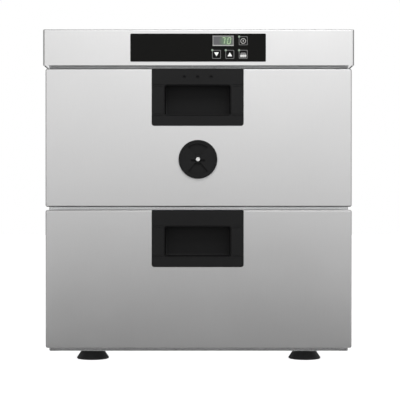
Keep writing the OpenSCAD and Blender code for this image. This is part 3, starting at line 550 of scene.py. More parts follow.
def angle_bar(low, high, upright):
    """A bar with its upright leaf where `upright` points and its other leaf on top."""
    bar = box("bar", low, high)
    way_out = Vector(upright)
    without_faces(bar, lambda at, way: way.dot(way_out) < 0.5 and way.z < 0.5)
    edge = Vector([h if u > 0 else l for u, l, h in zip(upright, low, high)])
    round_edges(bar, ARM_FOLD, lambda at, way: near(at.z, high[2]) and near((at - edge).dot(way_out), 0))
    return thickened(bar, ARM)


for level in LEVELS:
    low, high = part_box(f"{level}_pan_frame")
    ledge_x = pan_high.x - LEDGE_UNDER
    ledge_front, ledge_rear = pan_low.y + LEDGE_UNDER, pan_high.y - LEDGE_UNDER
    rack = angle_bar((ledge_x, low.y, low.z), high, (1, 0, 0))
    for other in (
        angle_bar(low, (-ledge_x, high.y, high.z), (-1, 0, 0)),
        angle_bar((low.x + ARM / 2, low.y, low.z), (high.x - ARM / 2, ledge_front, high.z), (0, -1, 0)),
        angle_bar((low.x + ARM / 2, ledge_rear, low.z), (high.x - ARM / 2, high.y, high.z), (0, 1, 0)),
    ):
        combine(rack, other, "UNION")
    screws_low, screws_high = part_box(f"{level}_drawer_screws")
    outer_x = screws_high.x - HEAD_RADIUS
    screw_xs = [share * outer_x for share in (-1, -0.6, 0.6, 1)]
    screw_z = (screws_low.z + screws_high.z) / 2
    drilled(rack, SCREW_HOLE, [(x, low.y, screw_z) for x in screw_xs])
    rack.name = f"{level}_rack"
    done(soften(rack, 0.0002, 1, 60), hidden_steel, f"{level}_drawer", "slide_steel", f"{level}_pan_frame")
    for k, x in enumerate(screw_xs, 1):
        set_in(screw, f"{level}_drawer_screw_{k}", (x, screws_high.y - HEAD_HEIGHT, screw_z),
               f"{level}_drawer", f"{level}_drawer_screws")


# ------------ pans
# Full-size food pans, deep-drawn from 0.8 mm stainless steel and polished inside. The walls lean in
# towards the floor, and the flat rim lies on the frame's ledges, so that a pan lifts straight out.
PAN_STEEL = 0.0008
PAN_RIM = 0.012
PAN_RIM_CORNER = 0.02
PAN_WALL_CORNER = 0.04
PAN_FLOOR_CORNER = 0.012
PAN_LEAN = 0.009
pan_steel = finish("drawn pan steel", (0.7, 0.7, 0.69), 1, 0.27, 900,
                   tint=0.015, spread=0.025, relief=1, worn=0.1)
for level in LEVELS:
    low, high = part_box(f"{level}_pan")
    under_rim = high.z - PAN_STEEL
    pan = box(f"{level}_food_pan", (low.x + PAN_RIM, low.y + PAN_RIM, low.z),
              (high.x - PAN_RIM, high.y - PAN_RIM, under_rim))
    round_edges(pan, PAN_WALL_CORNER, lambda at, way: abs(way.z) > 0.5, 10)
    half_x, half_y = high.x - PAN_RIM, (high.y - low.y) / 2 - PAN_RIM
    middle = (0, (low.y + high.y) / 2, low.z)
    floor_size = (1 - PAN_LEAN / half_x, 1 - PAN_LEAN / half_y, 1)
    with shaping(pan, "VERT", lambda at, way: near(at.z, low.z)):
        bpy.ops.transform.resize(value=floor_size, center_override=middle)
    round_edges(pan, PAN_FLOOR_CORNER, lambda at, way: near(at.z, low.z), 6)
    without_faces(pan, lambda at, way: near(at.z, under_rim) and way.z > 0.5)
    with shaping(pan, "EDGE", lambda at, way: near(at.z, under_rim)):
        bpy.ops.mesh.extrude_region_move()
        mesh = bmesh.from_edit_mesh(pan.data)
        wall = PAN_WALL_CORNER
        rim = PAN_RIM - PAN_RIM_CORNER
        for point in [v for v in mesh.verts if v.select]:
            x, y = abs(point.co.x), abs(point.co.y - middle[1])
            spoke = Vector((max(x - half_x + wall, 0), max(y - half_y + wall, 0))).normalized()
            moved = Vector((half_x + rim, half_y + rim)) + spoke * PAN_RIM_CORNER
            point.co.x = math.copysign(moved.x, point.co.x)
            point.co.y = middle[1] + math.copysign(moved.y, point.co.y - middle[1])
        bmesh.update_edit_mesh(pan.data)
    thickened(pan, PAN_STEEL)
    soften(pan, 0.0003, 2, 60)
    done(pan, pan_steel, f"{level}_drawer", "pan_steel", f"{level}_pan", crease=50)


# ------------ drawer fronts
# Each front is a tray folded from brushed stainless sheet and filled with mineral wool, closed from
# behind by a plate. It is notched at the top for the handle; the upper one also has the vent's hole.
# Its folds get painted shade, darker than the flat faces
brushed = finish("brushed front steel", (0.745, 0.743, 0.743), 1, 0.335, (2600, 2600, 30),
                 tint=0.035, spread=0.05, relief=4, fold_shade=0.5)
FRONT_CORNER = 0.003
FRONT_FOLD = 0.0018
HANDLE_CORNER = 0.0042
HANDLE_PLATE = 0.005
FIT = 0.0002
along_y = lambda at, way: abs(way.y) > 0.5
dial_low, dial_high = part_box("vent_dial")
DUCT_HOLE = 0.0243


def at_vent(y):
    """The vent's axis at one depth."""
    return ((dial_low.x + dial_high.x) / 2, y, (dial_low.z + dial_high.z) / 2)


for level, low, high in (("lower", lower_low, lower_high), ("upper", upper_low, upper_high)):
    skin = box(f"{level}_skin", low, high)
    without_faces(skin, lambda at, way: way.y > 0.5)
    round_edges(skin, FRONT_CORNER, along_y)
    thickened(skin, SHEET)
    round_edges(skin, FRONT_FOLD, lambda at, way: near(at.y, face_y), 3)
    handle_low, handle_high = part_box(f"{level}_handle")
    notch = box("notch", (handle_low.x - FIT, face_y - 2 * OVER, handle_low.z - FIT),
                (handle_high.x + FIT, face_y + HANDLE_PLATE + FIT, high.z + 2 * OVER))
    round_edges(notch, HANDLE_CORNER, lambda at, way: along_y(at, way) and at.z < high.z)
    combine(skin, notch)
    plate = box(f"{level}_back_plate", *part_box(f"{level}_backplate"))
    round_edges(plate, FRONT_CORNER - SHEET, along_y)
    screw_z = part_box(f"{level}_drawer_screws")[0].z + HEAD_RADIUS
    drilled(plate, SCREW_HOLE, [(x, high.y, screw_z) for x in screw_xs])
    if level == "upper":
        for sheet_piece, y in ((skin, face_y), (plate, high.y)):
            combine(sheet_piece, rod(DUCT_HOLE, -0.005, 0.005, at_vent(y), FORWARD, 64))
    done(skin, brushed, f"{level}_drawer", "brushed_skin", f"{level}_front_skin")
    done(soften(plate, 0.0003, 2, 50), case_steel, f"{level}_drawer", "liner_steel", f"{level}_backplate")


# ------------ gaskets
# Black silicone ring in the back of each front. Its hollow lip is pressed on the front frame when the
# drawer is shut and keeps the warm, damp air in.
gasket_rubber = finish("black silicone", (0.025, 0.025, 0.026), 0, 0.62, 900,
                       tint=0.2, spread=0.06, relief=30, gloss=0.3)
GASKET_CORNER = 0.016
GASKET_BASE = 0.0025
# How far each step of the lip's outline goes inwards, and how far it rises towards the cabinet
LIP_STEPS = [(0.0012, 0.0), (0.0006, 0.0030), (0.0012, 0.0016), (0.0016, 0.0006), (0.0016, 0.0),
             (0.0016, -0.0006), (0.0012, -0.0016), (0.0006, -0.0030), (0.0008, 0.0), (0.0004, 0.001),
             (0.0008, 0.0), (0.0004, -0.001)]
for level in LEVELS:
    low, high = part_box(f"{level}_gasket")
    ring = box(f"{level}_seal", low, (high.x, low.y + GASKET_BASE, high.z))
    round_edges(ring, GASKET_CORNER, along_y, 8)
    with shaping(ring, "FACE", lambda at, way: way.y > 0.5):
        for inwards, rise in LIP_STEPS:
            bpy.ops.mesh.inset(thickness=inwards, depth=rise, use_even_offset=True)
        bpy.ops.mesh.delete(type="FACE")
    with shaping(ring, "FACE", lambda at, way: way.y < -0.5):
        bpy.ops.mesh.inset(thickness=sum(step[0] for step in LIP_STEPS))
        bpy.ops.mesh.delete(type="FACE")
    with shaping(ring, "EDGE", lambda at, way: False):
        bpy.ops.mesh.select_non_manifold(extend=False, use_wire=False, use_boundary=True,
                                         use_multi_face=False, use_non_contiguous=False, use_verts=False)
        bpy.ops.mesh.bridge_edge_loops()
    done(mend(ring), gasket_rubber, f"{level}_drawer", "gasket_rubber", f"{level}_gasket", crease=50)


# ------------ handles
# One-piece inserts moulded in matt black plastic and snapped into the fronts' notches. The hand goes
# in through the hole, which has a narrow seam round it, and hooks up behind the band above it.
black_moulding = finish("matt black moulding", (0.0098, 0.0098, 0.01), 0, 0.5, 2400,
                        tint=0.18, spread=0.06, relief=30, worn=0.35, gloss=0.1)
GRIP_WIDTH = 0.104
GRIP_HEIGHT = 0.047
GRIP_TOP = 0.026
GRIP_HOOK = 0.014
GRIP_DEPTH = 0.0335
GRIP_CORNER = 0.0035
GRIP_LIP = 0.0005
SEAM = 0.0009
SEAM_DEPTH = 0.003
HANDLE_WALL = 0.0025
POCKET_CORNER = 0.003
GROOVE = 0.0007
GROOVE_DEPTH = 0.0018
GROOVE_OFFSET = 0.001
GROOVE_PITCH = 0.0026
DIMPLE_RADIUS = 0.0027
DIMPLE_DROP = 0.013
DIMPLE_DEPTH = 0.003
DIMPLE_PITCH = 0.0212
for level in LEVELS:
    low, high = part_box(f"{level}_handle")
    middle = (low.x + high.x) / 2
    hole_left, hole_right = middle - GRIP_WIDTH / 2, middle + GRIP_WIDTH / 2
    hole_high = high.z - GRIP_TOP
    hole_low = hole_high - GRIP_HEIGHT
    hole = (hole_left, 0, hole_low), (hole_right, 0, hole_high)
    hooked = (hole_left, 0, hole_low), (hole_right, 0, hole_high + GRIP_HOOK)
    plate_y = face_y + HANDLE_PLATE
    grip = box(f"{level}_grip", low, (high.x, plate_y, high.z))
    round_edges(grip, HANDLE_CORNER, lambda at, way: along_y(at, way) and near(at.z, low.z))
    pocket = grown("pocket", *hooked, HANDLE_WALL, plate_y - OVER, high.y)
    combine(grip, round_edges(pocket, POCKET_CORNER, along_y), "UNION")
    reach = grown("reach", *hooked, 0, plate_y, face_y + GRIP_DEPTH)
    combine(grip, round_edges(reach, POCKET_CORNER, lambda at, way: near(at.y, face_y + GRIP_DEPTH)))
    hand_hole = grown("hand hole", *hole, 0, low.y - 2 * OVER, plate_y + OVER / 2)
    combine(grip, round_edges(hand_hole, GRIP_CORNER, along_y))
    soften(grip, 0.0006, 3, 50)
    seam, island = [
        round_edges(grown("seam", *hole, out, low.y - OVER - extra, low.y + SEAM_DEPTH + extra),
                    GRIP_CORNER + out, along_y)
        for out, extra in ((GRIP_LIP + SEAM, 0), (GRIP_LIP, OVER))]
    combine(grip, combine(seam, island))
    grooves = []
    for z0, way in ((hole_high + GROOVE_OFFSET, -1), (hole_low - GROOVE_OFFSET, 1)):
        for z in (z0, z0 + way * GROOVE_PITCH):
            for x0, x1 in ((low.x - OVER, hole_left - HANDLE_WALL), (hole_right + HANDLE_WALL, high.x + OVER)):
                grooves.append(box("groove", (x0, low.y - OVER, z - GROOVE / 2),
                                   (x1, low.y + GROOVE_DEPTH, z + GROOVE / 2)))
    combine(grip, joined("grooves", grooves))
    if level == "upper":
        combine(grip, joined("dimples", [
            rod(DIMPLE_RADIUS, -DIMPLE_DEPTH, 2 * OVER, (x, low.y, high.z - DIMPLE_DROP), FORWARD)
            for x in (middle - DIMPLE_PITCH, middle, middle + DIMPLE_PITCH)]))
    done(grip, black_moulding, f"{level}_drawer", "black_moulding", f"{level}_handle")


# ------------ vent
# A duct through the upper front with openings left and right in its face. The moulded dial in front
# of it has openings above and below and a bar over its hub, with a hollow on each side of the pin.
# It turns a quarter on that flat-headed pin to let damp air out.
DIAL_RIM = 0.0024
DIAL_RAISE = 0.0012
HUB_RADIUS = 0.0055
SLOT_INNER = 0.0065
SLOT_OUTER = 0.025
SLOT_HALF_ANGLE = 40
SLOT_CORNER = 0.0012
dial_radius = (dial_high.x - dial_low.x) / 2
dial_depth = dial_high.y - dial_low.y
PIN_HOLE = 0.00208
dial = turned("dial", [
    (dial_radius - 0.0006, 0), (dial_radius, 0.0006), (dial_radius, dial_depth - 0.001),
    (dial_radius - 0.0003, dial_depth - 0.0003), (dial_radius - 0.001, dial_depth),
    (dial_radius - DIAL_RIM, dial_depth), (dial_radius - DIAL_RIM - 0.0004, dial_depth - DIAL_RAISE),
    (HUB_RADIUS + 0.0006, dial_depth - DIAL_RAISE), (HUB_RADIUS, dial_depth - 0.0003),
    (HUB_RADIUS - 0.0003, dial_depth)], 96)
BAR_LENGTH, BAR_WIDTH = 0.022, 0.0045
bar = box("bar", (-BAR_LENGTH / 2, -BAR_WIDTH / 2, dial_depth - DIAL_RAISE - OVER),
          (BAR_LENGTH / 2, BAR_WIDTH / 2, dial_depth))
combine(dial, soften(bar, 0.0004, 2, 50), "UNION")
HOLLOW_INNER, HOLLOW_OUTER = 0.0028, 0.0112
HOLLOW_LOW, HOLLOW_HIGH = -0.0036, -0.0004
HOLLOW_DEPTH = 0.0044
for side in (-1, 1):
    combine(dial, box("hollow", (side * HOLLOW_INNER, HOLLOW_LOW, dial_depth - HOLLOW_DEPTH),
                      (side * HOLLOW_OUTER, HOLLOW_HIGH, dial_depth + OVER)))
combine(dial, rod(PIN_HOLE, -THROUGH, THROUGH, sides=64))


def sector(middle_angle, low, high):
    """A cutter for one opening: a rectangle spun about the Z axis, its upright edges rounded."""
    def at_corner(at, way):
        swing = math.degrees(at.xy.angle(Vector((0, 1 if middle_angle == 90 else -1))))
        return abs(way.z) > 0.9 and abs(swing - SLOT_HALF_ANGLE) < 0.5 and any(
            near(at.xy.length, radius) for radius in (SLOT_INNER, SLOT_OUTER))

    bpy.ops.mesh.primitive_plane_add(size=1)
    cutter = placed(bpy.context.object, turn=(math.pi / 2, 0, 0))
    cutter.scale = (SLOT_OUTER - SLOT_INNER, 1, high - low)
    cutter.location = ((SLOT_OUTER + SLOT_INNER) / 2, 0, (low + high) / 2)
    placed(cutter, turn=(0, 0, math.radians(middle_angle + SLOT_HALF_ANGLE)))
    with shaping(cutter, "FACE", lambda at, way: True):
        bpy.ops.mesh.spin(steps=24, angle=math.radians(2 * SLOT_HALF_ANGLE), center=(0, 0, 0), axis=(0, 0, 1))
    return round_edges(mend(cutter), SLOT_CORNER, at_corner, 3)


for middle_angle in (90, 270):
    combine(dial, sector(middle_angle, -OVER, dial_depth + OVER))
soften(dial, 0.0002, 1, 50)
placed(dial, at_vent(dial_high.y), FORWARD)
done(dial, black_moulding, "vent_dial", "black_moulding", "vent_dial")
dressed(black_moulding, "vent_housing")

pin_low, pin_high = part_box("vent_screw")
PIN_HEAD = 0.0014
pin_radius = (pin_high.x - pin_low.x) / 2
pin_length = pin_high.y - pin_low.y
pin_head_radius = pin_radius * 0.94
pin = turned("dial_pin", [
    (0.0004, 0), (pin_radius * 0.84, 0), (pin_head_radius, 0.0005), (pin_head_radius, PIN_HEAD),
    (0.002, PIN_HEAD), (0.002, pin_length - 0.0005), (0.0016, pin_length)], 48)
pin_steel = finish("satin pin steel", (0.84, 0.84, 0.83), 1, 0.38, 1500,
                   tint=0.05, spread=0.06, relief=6, worn=0.1)
placed(pin, at_vent(pin_low.y), BACKWARD)
done(pin, pin_steel, "upper_drawer", "screw_steel", "vent_screw")


# ------------ control tray
# The tray is the floor and rear wall of the electrical space on top of the case. It carries the
# relay on its heat sink, the transformer, the safety thermostat and the terminals.
board_green = finish("circuit board", (0.02, 0.12, 0.05), 0, 0.45, 700,
                     tint=0.3, spread=0.1, relief=40)
device_plastic = finish("device plastic", (0.5, 0.47, 0.4), 0, 0.5, 1200, tint=0.1, relief=30)
sink_aluminium = finish("ribbed heat sink", (0.6, 0.6, 0.61), 1, 0.45, (300, 1500, 300),
                        tint=0.08, relief=10)
core_steel = finish("laminated core", (0.22, 0.17, 0.12), 1, 0.5, (30, 30, 1600), tint=0.4, relief=50)
dressed(frame_steel, "control_tray")
dressed(board_green, "control_board", "display_module")
dressed(device_plastic, "safety_thermostat", "terminal_block")
dressed(sink_aluminium, "power_relay")
dressed(core_steel, "transformer")
dressed(screw_steel, "board_standoffs")


# ------------ top cover
# A lid folded from brushed stainless sheet with skirts at the front and sides and a short lip at the
# back. The side skirts' lower edges are hemmed inwards. It is cut out for the fascia and screwed to
# the tray's side flanges and rear wall.
COVER_CORNER = 0.003
COVER_FOLD = 0.0018
REAR_LIP = 0.012
lid = box("cover_skin", cover_low, cover_high)
without_faces(lid, lambda at, way: way.z < -0.5)
round_edges(lid, COVER_CORNER, lambda at, way: abs(way.z) > 0.5)
thickened(lid, SHEET)
round_edges(lid, COVER_FOLD, lambda at, way: near(at.z, cover_high.z), 3)
HEM = 0.0024
HEM_INSET = 0.004
for side in (-1, 1):
    hem = box("hem", (side * (cover_high.x - SHEET - HEM), cover_low.y + HEM_INSET, cover_low.z),
              (side * (cover_high.x - SHEET / 2), cover_high.y - HEM_INSET, cover_low.z + SHEET))
    combine(lid, hem, "UNION")
rear_cut_x = cover_high.x - SHEET - COVER_CORNER
combine(lid, box("rear opening", (-rear_cut_x, cover_high.y - 2 * SHEET, cover_low.z - THROUGH),
                 (rear_cut_x, cover_high.y + THROUGH, cover_high.z - REAR_LIP)))
fascia_low, fascia_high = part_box("fascia_panel")
FASCIA_BORDER = 0.002
CUT_OUT_CORNER = 0.0012
cut_out = grown("cut-out", fascia_low, fascia_high, FIT - FASCIA_BORDER, face_y - THROUGH, face_y + THROUGH)
combine(lid, round_edges(cut_out, CUT_OUT_CORNER, along_y))
COVER_SCREW_DROP = 0.006
COVER_SIDE_SCREW_RISE = 0.007
COVER_SCREW_FRONT, COVER_SCREW_REAR = 0.15, 0.1
LIP_SCREW_PITCH = 0.18
side_screw_ys = (face_y + COVER_SCREW_FRONT, cover_high.y - COVER_SCREW_REAR)
lip_screw_xs = (-LIP_SCREW_PITCH, 0, LIP_SCREW_PITCH)
lip_screw_z = cover_high.z - COVER_SCREW_DROP
side_screw_z = cover_low.z + COVER_SIDE_SCREW_RISE
drilled(lid, SCREW_HOLE, [(0, y, side_screw_z) for y in side_screw_ys], SIDEWAYS, 0.3)
drilled(lid, SCREW_HOLE, [(x, cover_high.y, lip_screw_z) for x in lip_screw_xs])
done(lid, brushed, "cabinet", "brushed_skin", "top_cover")
for hand, side in (("right", 1), ("left", -1)):
    for row, y in zip(("front", "rear"), side_screw_ys):
        set_in(screw, f"cover_screw_{hand}_{row}", (side * cover_high.x, y, side_screw_z),
               "cabinet", "cover_screws", (0, side * math.pi / 2, 0))
for k, x in enumerate(lip_screw_xs, 1):
    set_in(screw, f"cover_screw_back_{k}", (x, cover_high.y, lip_screw_z), "cabinet", "cover_screws")
bpy.data.objects.remove(screw)


# ------------ fascia
# A flat moulding of satin black plastic that is pushed into the cover's cut-out. It has openings for
# the window, the four keys and their light pipes, and a grey printed line round each key.
FASCIA_CORNER = 0.0015
fascia_black = finish("satin black fascia", (0.0045, 0.0045, 0.0041), 0, 0.42, 3000,
                      tint=0.12, spread=0.05, relief=15, worn=0.4, gloss=0.06)
fascia = box("fascia", fascia_low, (fascia_high.x, face_y, fascia_high.z))
round_edges(fascia, FASCIA_CORNER, along_y)
plug = grown("plug", fascia_low, fascia_high, -FASCIA_BORDER, face_y - 0.0002, fascia_high.y)
combine(fascia, round_edges(plug, 0.001, along_y), "UNION")


def middle_of(node):
    low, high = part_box(node)
    return (low + high) / 2


KEY_SIDE = 0.012
KEY_CORNER = 0.002
KEY_GAP = 0.00025
LIGHT_RADIUS = 0.00125
LIGHT_OFFSET = KEY_SIDE / 2 + 0.0008
LENS_RADIUS = 0.0017
LENS_OFFSET = 0.0064
key_places = {key: middle_of(key) for key in ("power_key", "down_key", "up_key", "function_key")}


def slab(name, at, width, height, y0, y1, corner=0):
    """A block from y0 to y1 with rounded corners, centred on a point of the front."""
    piece = box(name, (at.x - width / 2, y0, at.z - height / 2), (at.x + width / 2, y1, at.z + height / 2))
    return round_edges(piece, corner, along_y) if corner else piece


def square(name, at, side, y0, y1, corner):
    return slab(name, at, side, side, y0, y1, corner)


def beside(at, offset, y):
    """The place of a key's light, up and to the left of the key's middle."""
    return (at.x - offset, y, at.z + offset)


through = (fascia_low.y - THROUGH, fascia_high.y + THROUGH)
for key, at in key_places.items():
    combine(fascia, square("hole", at, KEY_SIDE + 2 * KEY_GAP, *through, KEY_CORNER + KEY_GAP))
    light_at = beside(at, LIGHT_OFFSET, face_y)
    combine(fascia, rod(LIGHT_RADIUS + 0.0001, -THROUGH, THROUGH, light_at, FORWARD, 24))
window_low, window_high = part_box("display_window")
combine(fascia, grown("hole", window_low, window_high, FIT, *through))
done(soften(fascia, 0.00025, 2, 50), fascia_black, "cabinet", "fascia_black", "fascia_panel")

OUTLINE_SIDE = 0.0136
OUTLINE_WIDTH = 0.0007
PRINT = 0.00006
outline_grey = finish("grey printed line", (0.17, 0.17, 0.17), 0, 0.5, 2500, tint=0.15, relief=10)
printed = (fascia_low.y - PRINT, fascia_low.y + PRINT)
for key, at in key_places.items():
    line = square(f"{key}_outline", at, OUTLINE_SIDE, *printed, 0.001)
    combine(line, square("inside", at, OUTLINE_SIDE - 2 * OUTLINE_WIDTH, *through, 0.0005))
    done(line, outline_grey, "cabinet", "fascia_black")


# ------------ display
# A grey window in a light frame, with a two-figure green seven-segment number on its right half. The
# pane glows faintly round the number. The frame's bottom bar has painted light: it is a lighter grey.
WINDOW_FRAME = 0.0014
WINDOW_DEPTH = 0.0005
DIGIT_ROW = 40.75
DIGIT_COLUMNS = {"7": 223.3, "0": 229.1}
digit_z = cover_high.z - (DIGIT_ROW - PHOTO_TOP_ROW) * PIXEL
glow_x = (sum(DIGIT_COLUMNS.values()) / 2 - PHOTO_MIDDLE_COLUMN) * PIXEL
GLOW_REACH = 0.012
GLOW_STRENGTH = 0.13
frame_grey = finish("window frame", (0.22, 0.22, 0.215), 0, 0.4, 1800, tint=0.1, worn=0.3)
# Painted light: a lighter copy of the frame's grey for its bottom bar
sill_painted_light_grey = finish("window frame's sill, painted lit", (0.4, 0.4, 0.39), 0, 0.4, 1800, tint=0.1, worn=0.3)
window_grey = finish("window pane", (0.078, 0.078, 0.082), 0, 0.3, 700, tint=0.1, spread=0.04, relief=5)
tree = window_grey.node_tree
reach = added(tree, "Mapping", Vector=added(tree, "TexCoord")["Object"], Scale=[1 / GLOW_REACH] * 3,
              Location=[-c / GLOW_REACH for c in (glow_x, face_y, digit_z)])["Vector"]
ball = tree.nodes.new("ShaderNodeTexGradient")
ball.gradient_type = "SPHERICAL"
dimmed = maths(tree, "MULTIPLY", feed(tree, ball, reach)["Fac"], GLOW_STRENGTH)
feed(tree, tree.nodes["Principled BSDF"], Emission_Color=(0.2, 1, 0.1, 1), Emission_Strength=dimmed)
bezel = box("window_frame", window_low, window_high)
combine(bezel, grown("inside", window_low, window_high, -WINDOW_FRAME, *through))
done(soften(bezel, 0.0002, 2, 50), frame_grey, "cabinet", "window_grey", "display_window")
pane_y = window_low.y + WINDOW_DEPTH
pane = grown("window_pane", window_low, window_high, -WINDOW_FRAME, pane_y, window_high.y)
done(soften(pane, 0.0001, 1, 50), window_grey, "cabinet", "window_grey", "display_window")
# The frame's bottom bar with painted light, a lighter grey than the rest of the frame
sill = box("window_sill_painted_light", (window_low.x, window_low.y - 0.0001, window_low.z),
           (window_high.x, window_high.y, window_low.z + WINDOW_FRAME))
done(soften(sill, 0.0002, 2, 50), sill_painted_light_grey, "cabinet", "window_grey", "display_window")

DIGIT_HEIGHT = 0.0098
DIGIT_WIDTH = 0.0044
STROKE = 0.0013
SLANT = 0.16
STROKE_GAP = 0.35
STROKE_ROUNDING = 0.42
# Each stroke by the middle of its line, in halves of a digit's width and height, and its length
STROKES = {"a": (0, 1, "across"), "b": (1, 0.5, "up"), "c": (1, -0.5, "up"), "d": (0, -1, "across"),
           "e": (-1, -0.5, "up"), "f": (-1, 0.5, "up"), "g": (0, 0, "across")}
DIGITS = {"7": "abc", "0": "abcdef"}
digit_green = finish("lit green segment", (0.2, 0.28, 0.17), 0, 0.5, 2500, tint=0.1)
tree = digit_green.node_tree
feed(tree, tree.nodes["Principled BSDF"], Emission_Color=(0.36, 0.5, 0.29, 1), Emission_Strength=0.4)
for figure, column in DIGIT_COLUMNS.items():
    digit_x = (column - PHOTO_MIDDLE_COLUMN) * PIXEL
    strokes = []
    for letter in DIGITS[figure]:
        across, up, way = STROKES[letter]
        at = Vector((across * DIGIT_WIDTH / 2, 0, up * DIGIT_HEIGHT / 2))
        length = (DIGIT_WIDTH if way == "across" else DIGIT_HEIGHT / 2) - STROKE * STROKE_GAP
        size = (length, STROKE) if way == "across" else (STROKE, length)
        strokes.append(slab("stroke", at, *size, pane_y - PRINT, pane_y + PRINT))
        round_edges(strokes[-1], STROKE * STROKE_ROUNDING, along_y, 2)
    number = joined(f"digit_{figure}", strokes)
    lean = Matrix.Identity(4)
    lean[0][2] = SLANT
    number.data.transform(Matrix.Translation((digit_x, 0, digit_z)) @ lean)
    done(number, digit_green, "cabinet", "display_green")


# ------------ keys
# Black key caps with grey and white signs printed on them: a ring with a bar for power, a triangle
# down and one up for the temperature, and a covered dish of warm food for the holding programme.
key_black = finish("black key cap", (0.0043, 0.0043, 0.004), 0, 0.4, 3000,
                   tint=0.12, spread=0.05, relief=15, worn=0.3, gloss=0.06)
CAP_FRONT = 0.0013
CAP_BEHIND = 0.0003
COLLAR = 0.0009
COLLAR_GAP = 0.00015
COLLAR_THICKNESS = 0.001
STEM_RADIUS = 0.002


def ink(name, colour, tint):
    return finish(name, colour, 0, 0.5, 2500, tint=tint, relief=8)


for key, at in key_places.items():
    cap = square(f"{key}_cap", at, KEY_SIDE, face_y - CAP_FRONT, fascia_high.y + CAP_BEHIND, KEY_CORNER)
    behind = fascia_high.y + COLLAR_GAP
    collar = square("collar", at, KEY_SIDE + 2 * COLLAR, behind, behind + COLLAR_THICKNESS, KEY_CORNER)
    combine(cap, collar, "UNION")
    combine(cap, rod(STEM_RADIUS, face_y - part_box(key)[1].y, 0, (at.x, face_y, at.z), FORWARD), "UNION")
    combine(cap, rod(LIGHT_RADIUS + 0.0003, -THROUGH, -0.0022, beside(at, LIGHT_OFFSET, face_y), FORWARD))
    combine(cap, rod(LENS_RADIUS + KEY_GAP, -0.002, 0.003, beside(at, LENS_OFFSET, face_y), FORWARD))
    done(soften(cap, 0.00025, 2, 50), key_black, key, "key_black", key)


def flat_sign(name, key, sides, radius, angle=0, inner=None, rise=0.0):
    """A thin printed shape on a key: a disc or polygon, or a ring of it where inner is given."""
    at = key_places[key]
    shape = rod(radius, -PRINT, PRINT, turn=(0, 0, angle), sides=sides)
    if inner:
        combine(shape, rod(inner, -OVER, OVER, turn=(0, 0, angle), sides=sides))
    shape.name = name
    return placed(shape, (at.x, face_y - CAP_FRONT, at.z + rise), FORWARD)


def plate_sign(name, key, rise, width, height, corner=0):
    """A thin printed rectangle on a key, its middle `rise` above the key's."""
    front = face_y - CAP_FRONT
    at = key_places[key] + Vector((0, 0, rise))
    return slab(name, at, width, height, front - PRINT, front + PRINT, corner)


sign_white = ink("white printed sign", (0.86, 0.86, 0.85), 0.03)
sign_grey = ink("grey printed sign", (0.4, 0.4, 0.39), 0.05)
SIGN_DROP = -0.0004
ring = flat_sign("power_ring", "power_key", sides=48, radius=0.0043, inner=0.0034, rise=SIGN_DROP)
done(ring, sign_grey, "power_key", None)
power_bar = plate_sign("power_bar", "power_key", SIGN_DROP + 0.0002, width=0.0012, height=0.0034, corner=0.0005)
done(power_bar, sign_grey, "power_key", None)
TRIANGLE = 0.0042
for key, angle, way in (("down_key", math.pi, 1), ("up_key", 0, -1)):
    triangle = flat_sign(f"{key}_triangle", key, 3, TRIANGLE, angle, rise=way * TRIANGLE / 4)
    with shaping(triangle, "EDGE", along_y):
        bpy.ops.mesh.bevel(offset=0.0004, segments=3, affect="EDGES")
    done(triangle, sign_white, key, None)
food_white = ink("soft white printed sign", (0.62, 0.62, 0.61), 0.06)
FOOD_RADIUS = 0.0019
FOOD_PITCH = 0.0031
FOOD_DROP = -0.0024
for k in (-1, 0, 1):
    blob = flat_sign(f"food_{k + 2}", "function_key", 24, FOOD_RADIUS, rise=FOOD_DROP)
    done(placed(blob, (k * FOOD_PITCH, 0, 0)), food_white, "function_key", None)
dish = plate_sign("dish", "function_key", rise=-0.00475, width=0.0098, height=0.0005)
done(dish, sign_grey, "function_key", None)
dish_cover = plate_sign("dish_cover", "function_key", rise=0.0012, width=0.0092, height=0.0032)
dish_top = key_places["function_key"].z + 0.002
with shaping(dish_cover, "EDGE", lambda at, way: along_y(at, way) and at.z > dish_top):
    bpy.ops.mesh.bevel(offset=0.0024, segments=6, affect="EDGES")
done(dish_cover, ink("dim printed dish", (0.13, 0.13, 0.13), 0.1), "function_key", None)

light_green = finish("pale green light pipe", (0.22, 0.28, 0.22), 0, 0.4, 1500, relief=10)
lights_low, lights_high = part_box("indicator_lights")
pipe_length = lights_high.y - lights_low.y
for key, at in key_places.items():
    pipe = turned(f"{key}_light", [
        (0.0006, 0), (LIGHT_RADIUS - 0.0002, 0.00008), (LIGHT_RADIUS, 0.0003),
        (LIGHT_RADIUS, pipe_length - 0.001), (0.0009, pipe_length)], 24)
    placed(pipe, beside(at, LIGHT_OFFSET, lights_low.y), BACKWARD)
    lens = turned("lens", [(0.0006, 0), (LENS_RADIUS - 0.0002, 0), (LENS_RADIUS, 0.0001),
                           (LENS_RADIUS, fascia_low.y - lights_low.y)], 32)
    combine(pipe, placed(lens, beside(at, LENS_OFFSET, lights_low.y - 0.00002), BACKWARD), "UNION")
    done(pipe, light_green, "cabinet", "light_green", "indicator_lights")


